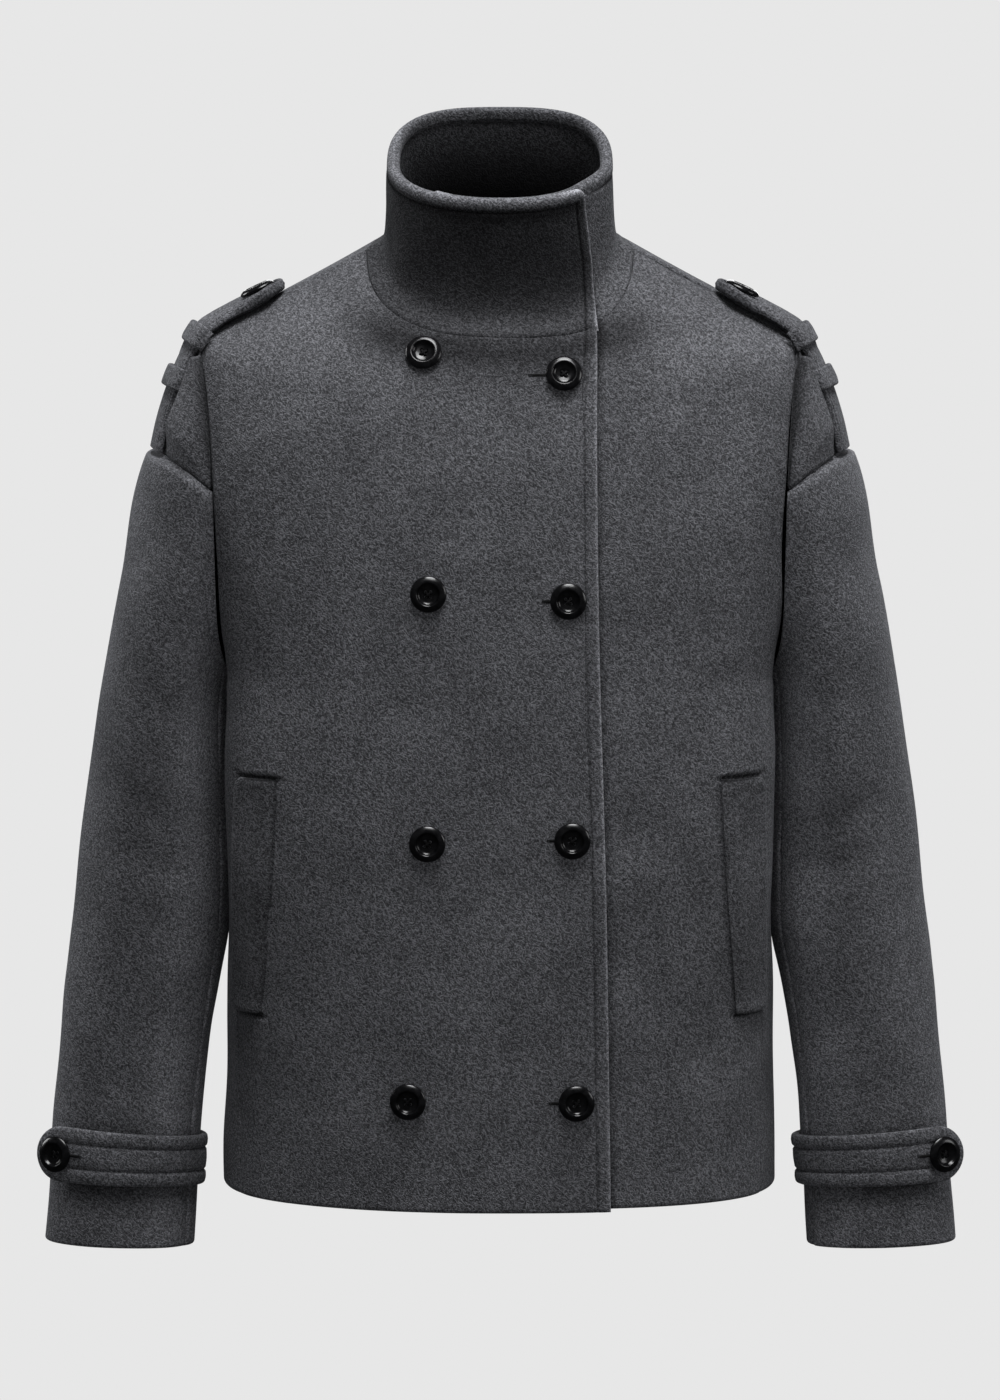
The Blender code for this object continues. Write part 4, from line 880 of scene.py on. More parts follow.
panelForm = {
    "reach": 0.090, "endAngle": math.radians(80), "span": math.radians(82), "power": 0.92,
    "endEase": math.radians(1.2), "thick": 0.003, "rows": 34,
    # angles of the columns, finer at the pleats: from, to, apart; and at both ends
    "angleRuns": ((-80, -17, 2.2), (-17, -3, 0.8), (-3, 27, 2.2), (27, 41, 0.8), (41, 80, 2.2)),
    "endAngles": (0.25, 0.6, 1.1, 1.8),
    # a pleat on each side of the strap: height, sideways fold, channel between them
    "pleatCentre": math.radians(12), "pleatHalf": math.radians(19.5), "pleatRise": 0.0082,
    "riseSpan": inRadians(0, 3.2), "fallSpan": inRadians(5, 48), "nearStrap": (0.15, 0.25),
    "foldOver": 0.0040, "foldSpan": inRadians(5, 4), "channelDrop": 0.0020, "channelWide": math.radians(4),
    "alongSpan": (0, 0.07), "fadeShare": 0.75, "fadeSpan": (0.62, 0.38),
    # the front fold stands up under the strap's first loop
    "peak": 0.0125, "peakTurn": inRadians(27, 11), "peakSpan": (0, 0.05), "peakAlong": (0.04, 0.24),
    "waves": (0.0005, 0.05, 21), "waveSpan": (0, 0.02),
    # painted shade in the creases' troughs, along both seams, and widely below the top seam
    "foldShade": 0.45, "foldDeep": 0.0014, "seamShade": 0.55, "topWide": 0.0026, "lowWide": 0.0022,
    "topShade": 0.32, "topFar": 0.008, "darkest": 0.85,
    "creases": [
        (0.2260, -0.052, -0.112, 0.10, -0.25, -1.0, 0.026, 0.0035, -0.0016),
        (0.2190, -0.064, -0.165, 0.05, -0.10, -1.0, 0.030, 0.0050, -0.0014),
        (0.2215, -0.060, -0.135, 0.08, -0.15, -1.0, 0.024, 0.0050, 0.0010),
        (0.2300, 0.056, -0.120, 0.08, 0.20, -1.0, 0.030, 0.0040, -0.0015),
        (0.2200, 0.068, -0.170, 0.03, 0.10, -1.0, 0.028, 0.0055, -0.0012),
    ],
}

sleeveLook = {
    "fullness": 0.0075, "thick": 0.003, "hemThick": 0.0050, "end": 0.690, "hemSpan": (0.022, 0.02),
    "coarse": (70, 64), "rounds": 14, "waves": 0.0008, "waveLength": 0.07, "rows": 0.0050,
    "topAngles": (155, -115), "underAngles": (155, 245), "topSteps": [0.0050, 0.0075, 0.0105, 0.0140],
    "topSpan": (0, 0.012), "flatSpan": (0, 0.004),
    # fullness below the dropped seam, on the outer side
    "fullFrom": (0, 0.006), "fullTo": (0.008, 0.085), "fullPower": 0.7,
    # painted light on the inner and the outer side of the arm, and painted shade in front of the right one
    "insidePaintedLight": -0.42, "insideSpan": (0.1, 0.5), "outsidePaintedLight": -0.36, "outsideWide": 0.50,
    "frontShade": 0.10, "frontTurn": (math.radians(75), 0.45),
    # shade past each edge of the cuff strap: side, depth, width
    "strapShade": ((1, 0.58, 0.020), (-1, 0.28, 0.014)), "strapSpan": (-0.006, 0.003),
    "strapTurn": (math.radians(35), 0.25),
    "creases": [
        (0.262, -0.070, -0.395, 0.80, 0.1, 0.55, 0.045, 0.012, -0.0016),
        (0.240, -0.066, -0.440, 0.85, 0.1, 0.42, 0.040, 0.011, -0.0014),
        (0.272, -0.066, -0.455, 0.90, 0.1, 0.25, 0.038, 0.013, 0.0010),
        (0.280, 0.045, -0.440, 0.90, 0.1, 0.30, 0.050, 0.013, -0.0018),
        (0.275, 0.050, -0.480, 0.95, 0.1, 0.18, 0.045, 0.012, -0.0016),
        (0.285, 0.040, -0.400, 0.85, 0.1, 0.45, 0.045, 0.014, -0.0013),
        (0.235, -0.072, -0.330, 0.55, 0.1, 0.85, 0.045, 0.012, -0.0012),
        (0.262, -0.062, -0.600, 0.95, 0.1, 0.10, 0.040, 0.010, -0.0009),
        (0.300, 0.000, -0.520, 0.20, 0.9, 0.10, 0.045, 0.014, -0.0009),
    ],
}


def panelReach(angle):
    # how far down the arm the panel reaches: a power of a cosine, cut off at its ends
    p = panelForm
    inside = np.clip(np.abs(angle) / p["span"], 0, 1) * np.pi / 2
    return p["reach"] * np.cos(inside) ** p["power"] * (1 - ease((np.abs(angle) - p["endAngle"]) / p["endEase"]))


def armNormals(points, reach, angle):
    return outwardNormals(points, (arm(reach, angle) + arm(reach, angle + np.pi)) / 2)


def makePanel(name, side):
    p = panelForm
    ends = np.array(p["endAngles"])
    last = p["angleRuns"][-1][1]
    runs = [np.arange(*run) for run in p["angleRuns"]]
    angles = np.radians(np.unique(np.concatenate([*runs, [last], -last + ends, last - ends])))[::-1]
    ends = np.array(seamSteps[:6]) / p["reach"]
    shares = np.concatenate([ends, np.linspace(ends[-1], 1 - ends[-1], p["rows"])[1:-1], 1 - ends[::-1]])[:, None]
    reach = shares * panelReach(np.clip(angles, -p["endAngle"], p["endAngle"]))[None, :]
    angle = angles[None, :] + 0 * reach
    points = arm(reach, angle)
    normals = armNormals(points, reach, angle)
    away = sideDistances(points)
    off = np.abs(angle - p["pleatCentre"]) - p["pleatHalf"]
    along = eased(shares, p["alongSpan"]) * (1 - p["fadeShare"] * eased(shares, p["fadeSpan"]))
    across = eased(off, p["riseSpan"]) * (1 - eased(off, p["fallSpan"]))
    floor = p["channelDrop"] * (1 - ease(1 + off / p["channelWide"]))
    more, near = p["nearStrap"]
    relief = (p["pleatRise"] * across * (1 + more * bump(shares, 0, near)) - floor) * along
    sideways = unit(np.gradient(points, axis=1)) * np.sign(angle - p["pleatCentre"])[..., None]
    lean = p["foldOver"] * bump(off, *p["foldSpan"]) * along
    points = points + sideways * lean[..., None]
    peak = p["peak"] * bump(angle, *p["peakTurn"]) * eased(shares, p["peakSpan"]) * bump(shares, *p["peakAlong"])
    points = points + (0, 0, 1) * peak[..., None]
    folds = creaseField(points, p["creases"])
    relief = relief + folds + softWaves(points * (side, 1, 1), *p["waves"]) * eased(away["first"], p["waveSpan"])
    # painted shade in the troughs, along the seams and below the top seam
    shade = p["foldShade"] * np.clip(-folds / p["foldDeep"], 0, 1)
    shade += p["seamShade"] * np.maximum(bump(away["first"], 0.0, p["topWide"]), bump(away["last"], 0.0, p["lowWide"]))
    shade = np.minimum(shade + p["topShade"] * bump(away["first"], 0.0, p["topFar"]), p["darkest"])
    return wallMesh(name, *shellPoints(points, normals, p["thick"], ("seam",) * 4, relief, away), side, shade)


def makeSleeve(name, side, angleRange, columns, seed):
    look = sleeveLook
    high, wide = look["coarse"]
    angles = np.radians(np.linspace(*angleRange, wide))
    top = panelReach(angles)
    reach = top + (look["end"] - top) * np.linspace(0, 1, high)[:, None]
    angle = angles + 0 * reach
    grid = settle(np.concatenate([arm(reach, angle), reach[..., None], angle[..., None]], axis=-1), look["rounds"])
    total = runLength(grid[..., :3])[-1].mean()
    at = lineUp(total, seamSteps[:5] + look["topSteps"], roundSteps(look["hemThick"] / 2, (0.002, 0.005)),
                look["rows"])
    fine = finePatch(grid, at / total, seamSteps, seamSteps, columns)
    points, reach, angle = fine[..., :3], fine[..., 3], fine[..., 4]
    away = sideDistances(points)
    shift = arm(panelReach(angle[0]), angle[0]) - points[0]
    points = points + shift[None] * (1 - eased(away["first"], look["topSpan"]))[..., None]
    normals = armNormals(points, np.clip(reach, 0, look["end"]), angle)
    beyond = reach - panelReach(angle)
    facing = np.clip(np.cos(np.clip(np.abs(angle), 0, np.pi / 2)), 0, 1) ** look["fullPower"]
    relief = look["fullness"] * facing * eased(beyond, look["fullFrom"]) * (1 - eased(beyond, look["fullTo"]))
    relief += softWaves(points * (side, 1, 1), look["waves"], look["waveLength"], seed)
    relief += creaseField(points, look["creases"])
    relief *= eased(away["first"], look["flatSpan"])
    wall = np.maximum(look["thick"], look["hemThick"] * (1 - eased(away["last"], look["hemSpan"])))
    # painted light on the arm's sides, painted shade in front of the right arm, and painted shadow past the cuff
    # strap's edges
    shade = look["insidePaintedLight"] * eased(-np.cos(angle), look["insideSpan"])
    shade += look["outsidePaintedLight"] * bump(angle, 0.0, look["outsideWide"])
    shade += look["frontShade"] * bump(angle, *look["frontTurn"]) * (side < 0)
    inFront = eased(angle, look["strapTurn"])
    for sign, dark, wide in look["strapShade"]:
        past = sign * (reach - cuffForm["reach"]) - cuffForm["half"]
        shade += inFront * dark * eased(past, look["strapSpan"]) * (1 - ease(past / wide))
    return wallMesh(name, *shellPoints(points, normals, wall, ("seam", "roll", "seam", "seam"), relief, away),
                    side, shade)


strapForm = {
    # outer face on the centre line, from the sleeve seam up to the round end
    "x": (0.2502, 0.2460, 0.2389, 0.2297, 0.2222, 0.2160, 0.2065, 0.1960, 0.1855, 0.1750, 0.1660, 0.1560),
    "z": (-0.1430, -0.1240, -0.1010, -0.0780, -0.0645, -0.0550, -0.0480, -0.0418, -0.0360, -0.0296, -0.0253,
          -0.0223),
    "y": (-0.017, -0.017, -0.016, -0.014, -0.013, -0.011, -0.009, -0.007, -0.005, -0.004, -0.003, -0.003),
    "roll": (8, 8, 8, 8, 8, 8, 7, 5, 3, 0, -2, -2), "tipThick": 0.0040, "tipSpan": (0.020, 0.035),
    "half": 0.0225, "thick": 0.005, "cup": 6.6, "stitchIn": 0.0048, "stitchDeep": 0.0008, "stitchWide": 0.0009,
    "stitchShade": 0.25, "stitchEnd": 0.004, "pad": (0.0003, 0.0022, 0.0018), "backShade": 0.85,
    "buttonSunk": 0.0010, "dimple": 0.0040, "dimpleSpan": (0.0125, 0.005), "dimpleTall": 0.3,
    "loopShares": (0.325, 0.535), "loopWidth": 0.016, "loopThick": 0.003, "loopLeg": 0.0086, "loopClear": 0.0008,
    "loopCorner": 0.0034, "loopSteps": [0, 0.0004, 0.001], "loopPad": 0.0006, "loopWaves": (0.0003, 0.016, 31),
}

cuffForm = {
    "half": 0.0213, "reach": 0.6207, "start": math.radians(248), "leave": math.radians(52), "free": 0.0340,
    "thick": 0.005, "layerGap": 0.0008, "stitchIn": 0.0118, "stitchDeep": 0.0015, "stitchWide": 0.0011,
    "pads": ((0.0007, 0.0062, 0.0036), (0.0005, 0.0213, 0.006)), "waves": (0.0004, 0.03, 41),
}


def strapRun():
    # the shoulder strap's centre line, each point's share of its length, and its length
    points = np.stack([strapForm[k] for k in "xyz"], axis=-1)
    run = runLength(points)
    return points, run / run[-1], run[-1]


def strapFrame(shares):
    # centre, direction across and direction outward at shares of the strap's length
    points, run, _ = strapRun()

    def at(s):
        return np.stack([smoothCurve(run, points[:, k], s) for k in range(3)], axis=-1)

    along = unit(at(np.clip(shares + 0.01, 0, 1)) - at(np.clip(shares - 0.01, 0, 1)))
    roll = np.radians(smoothCurve(run, strapForm["roll"], shares))[..., None]
    across = unit(np.array([0.0, 1.0, 0.0]) - along * along[..., [1]])
    outward = unit(np.cross(across, along))
    outward = outward * np.sign(outward[..., [2]] + outward[..., [0]])
    return (at(shares), across * np.cos(roll) + outward * np.sin(roll),
            unit(outward * np.cos(roll) - across * np.sin(roll)))


def outlineDistance(s, c, half):
    # distance to a strap's outline: straight sides, and a half circle at the end
    return np.maximum(np.where(s < half, half - np.hypot(half - s, c), half - np.abs(c)), 0)


def bandPoints(points, normals, thick, distance, relief, wall=None):
    # outer and inner faces of a strap, rolled along its outline
    drop = thick / 2 * rounded(distance, thick / 2)
    wall = thick if wall is None else wall
    return joinBorders(points + normals * (relief - drop)[..., None], points - normals * (wall - drop)[..., None])


def acrossShares(half, thick, lines, lineWidth, count=9):
    # places across a strap, with fine ones at its rolled edges and its stitch lines
    edge = half - np.array(roundSteps(thick / 2))
    near = [half - at + k * lineWidth for at in lines for k in (-1.8, -0.9, 0, 0.9, 1.8)]
    right = np.concatenate([edge, near, np.linspace(0, half * 0.9, count)])
    return np.unique(np.round(np.concatenate([-right, right]), 6))


def tipSteps(half):
    # steps along a strap's round end, even by angle
    return half * (1 - np.cos(np.linspace(0.05, math.pi / 2, 14)))


def tipShare(s, half):
    # a round end's half width, as a share of the strap's, at distances from its tip
    return np.sqrt(np.maximum(1 - np.clip(1 - s / half, 0, 1) ** 2, 0))


def makeShoulderStrap(name, side):
    f = strapForm
    half, length = f["half"], strapRun()[2]
    inset = half - f["stitchIn"]
    s = np.concatenate([tipSteps(half), np.linspace(half, length - 0.001, 46)[1:], [length - 0.0004, length]])
    centre, across, outward = strapFrame(np.clip(1 - s / length, 0, 1))
    offset = acrossShares(half, f["thick"], [f["stitchIn"]], f["stitchWide"])[None, :] * tipShare(s, half)[:, None]
    points = centre[:, None] + across[:, None] * offset[..., None]
    points = points - outward[:, None] * (f["cup"] * offset**2)[..., None]
    normals = outwardNormals(points, centre[:, None] - outward[:, None] * 0.05 + 0 * points)
    distance = outlineDistance(s[:, None], offset, half)
    stitched = bump(distance, f["stitchIn"], f["stitchWide"])
    padHigh, padIn, padWide = f["pad"]
    relief = -f["stitchDeep"] * stitched + padHigh * bump(distance, padIn, padWide)
    seat, _ = buttonAxes("button_shoulder_" + ("left" if side > 0 else "right"))
    off = np.linalg.norm((points * (side, 1, 1) - seat) * (1, 1, f["dimpleTall"]), axis=-1)
    relief -= f["dimple"] * (1 - eased(off, f["dimpleSpan"]))
    wall = f["thick"] + f["tipThick"] * (1 - eased(s, f["tipSpan"]))[:, None] + 0 * distance
    outer, inner = bandPoints(points, normals, f["thick"], distance, relief, wall)
    # painted shade in the stitch groove and on the strap's inner face
    made = wallMesh(name, outer, inner, side, f["stitchShade"] * stitched, f["backShade"])
    # stitch line: up one side, round the end and down the other
    path = [(x, -inset) for x in np.linspace(length - f["stitchEnd"], half, 60)]
    path += [(half - inset * math.cos(a), inset * math.sin(a))
             for a in np.linspace(-math.pi / 2, math.pi / 2, 30)[1:-1]]
    path += [(x, inset) for x in np.linspace(half, length - f["stitchEnd"], 60)]
    path = np.array(path)
    centre, across, outward = strapFrame(np.clip(1 - path[:, 0] / length, 0, 1))
    line = centre + across * path[:, 1:] - outward * (f["cup"] * path[:, 1:] ** 2 + f["stitchDeep"])
    return made, (line, unit(outward + across * (2 * f["cup"] * path[:, 1:])))


def makeStrapLoop(name, side, share):
    # band over the strap with a leg down each side; it runs with soft corners
    f = strapForm
    corner, cup, steps = f["loopCorner"], f["cup"], f["loopSteps"]
    clear, up = f["half"] + f["loopClear"], f["loopClear"] + f["loopThick"]
    edgeHigh, outerX = up - cup * clear**2, clear + f["loopThick"]
    half = [(-outerX, h) for h in np.linspace(-f["loopLeg"], edgeHigh - corner, 7)]
    half += [(-outerX + corner * (1 - math.cos(a)), edgeHigh - corner + corner * math.sin(a))
             for a in np.linspace(0, math.pi / 2, 7)[1:]]
    half = np.array(half + [(c, up - cup * c * c) for c in np.linspace(-outerX + corner, 0, 10)[1:]])
    section = np.concatenate([half, (half * (-1, 1))[-2::-1]])
    run = runLength(section)
    dense = np.concatenate([steps, np.linspace(0.0018, run[-1] - 0.0018, 46), run[-1] - np.array(steps)[::-1]])
    section = np.stack([np.interp(dense, run, section[:, k]) for k in range(2)], axis=-1)
    wide = acrossShares(f["loopWidth"] / 2, f["loopThick"], [], 0.001, 5)
    centre, across, outward = strapFrame(share + wide / strapRun()[2])
    points = centre[:, None] + across[:, None] * section[None, :, :1] + outward[:, None] * section[None, :, 1:]
    normals = outwardNormals(points, centre[:, None] - outward[:, None] * 0.012 + 0 * points)
    distance = (f["loopWidth"] / 2 - np.abs(wide))[:, None] + 0 * points[..., 0]
    relief = f["loopPad"] * (1 - (2 * np.abs(wide) / f["loopWidth"]) ** 2)[:, None] + 0 * distance
    relief = relief + softWaves(points * (side, 1, 1), *f["loopWaves"])
    return wallMesh(name, *bandPoints(points, normals, f["loopThick"], distance, relief), side)


def makeCuffStrap(name, side):
    # a band round the sleeve that leaves it in a straight, round-ended tab
    f = cuffForm
    half, step = f["half"], 0.0015
    wide = acrossShares(half, f["thick"], [f["stitchIn"]], f["stitchWide"], 7)
    bend = np.linspace(f["start"], f["leave"], 96)
    middle = (arm(f["reach"], 0.0) + arm(f["reach"], np.pi)) / 2
    reach = f["reach"] + wide[:, None] + 0 * bend[None, :]
    angle = bend[None, :] + 0 * reach
    normal = unit(np.cross(arm(reach + step, angle) - arm(reach - step, angle),
                           arm(reach, angle + step) - arm(reach, angle - step)))
    base = arm(reach, angle)
    normal = normal * np.sign(np.sum(normal * (base - middle), axis=-1, keepdims=True))
    around = base + normal * (f["thick"] + f["layerGap"])
    heading = unit((around[:, -1] - around[:, -2]).mean(axis=0))
    free = np.concatenate([np.linspace(0, f["free"] - half, 5)[1:-1], f["free"] - tipSteps(half)[::-1]])
    straight = around[:, -1][:, None] + heading * free[None, :, None]
    centreRow = len(wide) // 2
    squeeze = tipShare(f["free"] - free, half)
    straight = straight[centreRow][None] + (straight - straight[centreRow][None]) * squeeze[None, :, None]
    points = np.concatenate([around, straight], axis=1)
    run = runLength(around[centreRow])
    fromTip = np.concatenate([f["free"] + run[-1] - run, f["free"] - free])[None, :] + 0 * points[..., 0]
    offset = np.concatenate([wide[:, None] + 0 * bend[None, :], wide[:, None] * squeeze[None, :]], axis=1)
    normals = outwardNormals(points, middle)
    distance = outlineDistance(fromTip, offset, half)
    relief = -f["stitchDeep"] * bump(distance, f["stitchIn"], f["stitchWide"])
    relief += sum(high * bump(distance, at, spread) for high, at, spread in f["pads"])
    relief += softWaves(points * (side, 1, 1), *f["waves"])
    outer, inner = bandPoints(points, normals, f["thick"], distance, relief)
    lines = []
    for sign in (-1, 1):
        row = int(np.argmin(np.abs(wide - sign * (half - f["stitchIn"]))))
        shown = fromTip[row] > half * 0.9
        lines.append((outer[row, shown], normals[row, shown]))
    return wallMesh(name, outer, inner, side), lines


def makeWelt(name, side, upper):
    # plate with two round corners, thin where it is sewn and full at its free edge
    f = weltForm
    low, tall = f["z"][0], f["z"][-1] - f["z"][0]
    edge = roundSteps(f["thick"] / 2)
    ends = roundSteps(f["thick"] / 2, (0.002, 0.005))
    up = lineUp(tall, ends, ends, f["rows"])
    z = low + up
    levels = (z - bodyForm["hemZ"]) / (bodyForm["underarmZ"] - bodyForm["hemZ"])
    flatFrom, flatTo, count = f["flat"]
    steps = np.concatenate([f["sewnSteps"], np.linspace(flatFrom, f["width"] - flatTo, count),
                            f["width"] - np.array(edge)[::-1]])
    fromEnd = np.minimum(up, tall - up)
    cut = cornerCut(f["corner"], fromEnd)
    points = []
    for level, height, down in zip(levels, z, cut):
        start = float(turnOf(level, smoothCurve(f["z"], f["seamX"], height)))
        fine = np.linspace(start, f["farTurn"], 300)
        run = runLength(body(np.full_like(fine, level), fine))
        turns = np.interp(steps * (f["width"] - down) / f["width"], run, fine)
        points.append(body(np.full_like(turns, level), turns))
    points = np.array(points)
    normals = outwardNormals(points, middleAxis(points))
    width = steps[None, :] * ((f["width"] - cut) / f["width"])[:, None]
    fromSide = f["width"] - width
    distance = cornerDistance(f["corner"], fromEnd[:, None] + 0 * width, fromSide)
    full = f["thick"] * f["full"][upper]
    rising = eased(width, f["riseSpan"])
    near, more = f["lift"]
    rise = near + (full + more) * rising
    padHigh, padIn, padWide = f["pad"]
    relief = padHigh * bump(distance, padIn, padWide) * eased(width, f["padSpan"])
    relief += softWaves(points * (side, 1, 1), *f["waves"])
    wall = full * (f["sewnShare"] + (1 - f["sewnShare"]) * rising)
    drop = wall / 2 * rounded(distance, full / 2)
    outer, inner = joinBorders(points + normals * (rise + relief - drop)[..., None],
                               points + normals * (rise - wall + drop)[..., None])
    # painted shade over the plate, a painted highlight on its free edge, painted shade along its sewn edge and
    # painted shadow at its ends
    shade = f["dark"][upper] + f["edgeHighlight"] * bump(fromSide, 0.0, f["edgeWide"]) * f["edgeShare"][upper]
    shade += f["sewnShade"] * bump(width, *f["sewnLine"]) * f["sewnPart"][upper]
    for end, long in zip((up[:, None], tall - up[:, None]), f["endLong"]):
        shade = shade + f["endShadow"] * bump(end, 0.0, f["endWide"]) * (1 - ease((width - long) / f["endEase"]))
    return wallMesh(name, outer, inner, side, np.clip(shade, -1, 0.9))


buttonForm = {
    "radius": 0.013, "thick": 0.0048,
    # front face from the dish out over the rim, as shares of the radius and the thickness
    "profileR": (0.34, 0.40, 0.46, 0.51, 0.55, 0.585, 0.61, 0.635, 0.665, 0.70, 0.76, 0.82, 0.88, 0.93, 0.965,
                 0.99, 1.00, 0.99, 0.95, 0.88, 0.60, 0.34),
    "profileZ": (0.400, 0.425, 0.475, 0.550, 0.650, 0.770, 0.880, 0.960, 1.000, 0.990, 0.945, 0.880, 0.795, 0.705,
                 0.620, 0.520, 0.420, 0.300, 0.190, 0.110, 0.030, 0.000),
    "dishSunk": 0.0012, "holeAway": 0.0026, "holeRadius": 0.00115, "holeSides": 14, "segments": 64,
    "sharp": math.radians(50),
    # strands across each pair of holes, how far apart, sunk, bowed and over one another
    "threadRadius": 0.00040, "strands": 2, "strandApart": 1.5, "strandLean": 0.7, "threadSides": 6,
    "threadSunk": 0.0004, "threadBow": 0.0006, "threadOver": 0.0004, "threadEnd": 0.0003,
}


def buttonMesh(name):
    # lathed rim round a flat dish, with four holes cut through it
    f = buttonForm
    turn = np.linspace(0, 2 * np.pi, f["segments"], endpoint=False)
    r = np.array(f["profileR"])[:, None] * f["radius"]
    z = np.array(f["profileZ"])[:, None] * f["thick"]
    rings = np.stack([r * np.cos(turn), r * np.sin(turn), z + 0 * turn], axis=-1)
    index = np.arange(rings[..., 0].size).reshape(rings.shape[:2])
    points, faces = [rings.reshape(-1, 3)], ringQuads(index)[:, ::-1].tolist()
    count, holes = index.size, []
    angle = np.linspace(0, 2 * np.pi, f["holeSides"], endpoint=False)
    for k in range(4):
        a = math.pi / 4 + k * math.pi / 2
        x = f["holeAway"] * math.cos(a) + f["holeRadius"] * np.cos(angle)
        y = f["holeAway"] * math.sin(a) + f["holeRadius"] * np.sin(angle)
        pair = []
        for high in (f["profileZ"][0] * f["thick"], 0.0):
            sunk = f["dishSunk"] * (1 - np.hypot(x, y) / (f["profileR"][0] * f["radius"])) * (high > 0)
            points.append(np.stack([x, y, high - sunk], axis=-1))
            pair.append(count + np.arange(f["holeSides"]))
            count += f["holeSides"]
        faces += ringQuads(np.array(pair)).tolist()
        holes.append(pair)
    mesh = newMesh(name, np.concatenate(points), faces)
    work = bmesh.new()
    work.from_mesh(mesh)
    work.verts.ensure_lookup_table()
    for face, ring in ((0, index[0]), (1, index[-1])):
        edges = []
        for loop in [ring] + [pair[face] for pair in holes]:
            loop = [int(i) for i in loop]
            edges += [work.edges.get((work.verts[a], work.verts[b])) for a, b in zip(loop, loop[1:] + loop[:1])]
        bmesh.ops.triangle_fill(work, use_beauty=True, edges=edges)
    bmesh.ops.recalc_face_normals(work, faces=work.faces)
    for edge in work.edges:
        if len(edge.link_faces) == 2 and edge.calc_face_angle(0) > f["sharp"]:
            edge.smooth = False
    work.to_mesh(mesh)
    work.free()
    return mesh


def tubePoints(path, radius, sides=8):
    # tube along a path, its two ends drawn to a point
    path = np.asarray(path, float)
    heading = unit(np.gradient(path, axis=0))
    side = unit(np.cross(heading, np.where(np.abs(heading[:, [2]]) > 0.9, (1.0, 0, 0), (0, 0, 1.0))))
    up = np.cross(heading, side)
    angle = np.linspace(0, 2 * np.pi, sides, endpoint=False)
    fat = np.ones(len(path))
    fat[0] = fat[-1] = 0.15
    ring = side[:, None] * np.cos(angle)[None, :, None] + up[:, None] * np.sin(angle)[None, :, None]
    return path[:, None] + ring * (radius * fat)[:, None, None]


def tubeMesh(name, tubes):
    points, faces, start = [], [], 0
    for tube in tubes:
        index = start + np.arange(tube[..., 0].size).reshape(tube.shape[:2])
        faces += tubeFaces(index)
        points.append(tube.reshape(-1, 3))
        start += index.size
    return closedPiece(name, np.concatenate(points), faces)


def axesOf(axis, up=(0, 0, 1)):
    across = unit(np.cross(np.asarray(up, float), axis))
    return np.stack([across, np.cross(axis, across), axis])


def makeButton(name, turned):
    # the button and its cross of thread, on the seat its solid marks
    f = buttonForm
    seat, axis = buttonAxes(name)
    spin = math.radians(turned)
    spun = np.array([[math.cos(spin), math.sin(spin), 0], [-math.sin(spin), math.cos(spin), 0], [0, 0, 1]])
    spun = spun @ axesOf(axis, (0, 1, 0) if abs(axis[2]) > 0.7 else (0, 0, 1))
    mesh = buttonMesh(name + "Face")
    points = np.array([v.co for v in mesh.vertices]) @ spun + seat
    mesh.vertices.foreach_set("co", points.ravel())
    mesh.update()
    button = bpy.data.objects.new(name.replace("button_", "button_made_"), mesh)
    floor = f["profileZ"][0] * f["thick"] - f["threadSunk"]
    away = f["holeAway"] / math.sqrt(2)
    t = np.linspace(-1, 1, 13)
    tubes = []
    for cross in (-1, 1):
        for strand in range(f["strands"]):
            aside = (strand - (f["strands"] - 1) / 2) * f["threadRadius"] * f["strandApart"]
            lean = aside * f["strandLean"]
            high = floor + f["threadBow"] * (1 - t**2) + (f["threadOver"] if cross > 0 else 0.0)
            line = np.stack([away * t - lean * cross, cross * away * t + lean, high], axis=-1)
            ends = line[[0, -1]] * (1, 1, 0) + (0, 0, f["threadEnd"])
            path = np.concatenate([ends[:1], line, ends[1:]])
            tubes.append(tubePoints(path, f["threadRadius"], f["threadSides"]) @ spun + seat)
    return button, tubeMesh(name.replace("button_", "buttonThread_"), tubes)


holeForm = {
    "ring": 0.0009, "high": 0.0004, "ribs": 46, "ribHigh": 0.16, "slit": 0.0006, "apart": 0.0003, "square": 0.25,
    "endLean": 0.15, "lift": 0.0001, "slitShort": 0.0004, "slitHigh": 0.0003, "slitLift": 0.0004, "inner": 0.003,
    "reach": {"button_front_5": 0.0245, "button_front_6": 0.0180, "button_front_7": 0.0170, "button_front_8": 0.0187,
              "button_cuff_right": 0.0215, "button_cuff_left": 0.0215},
}


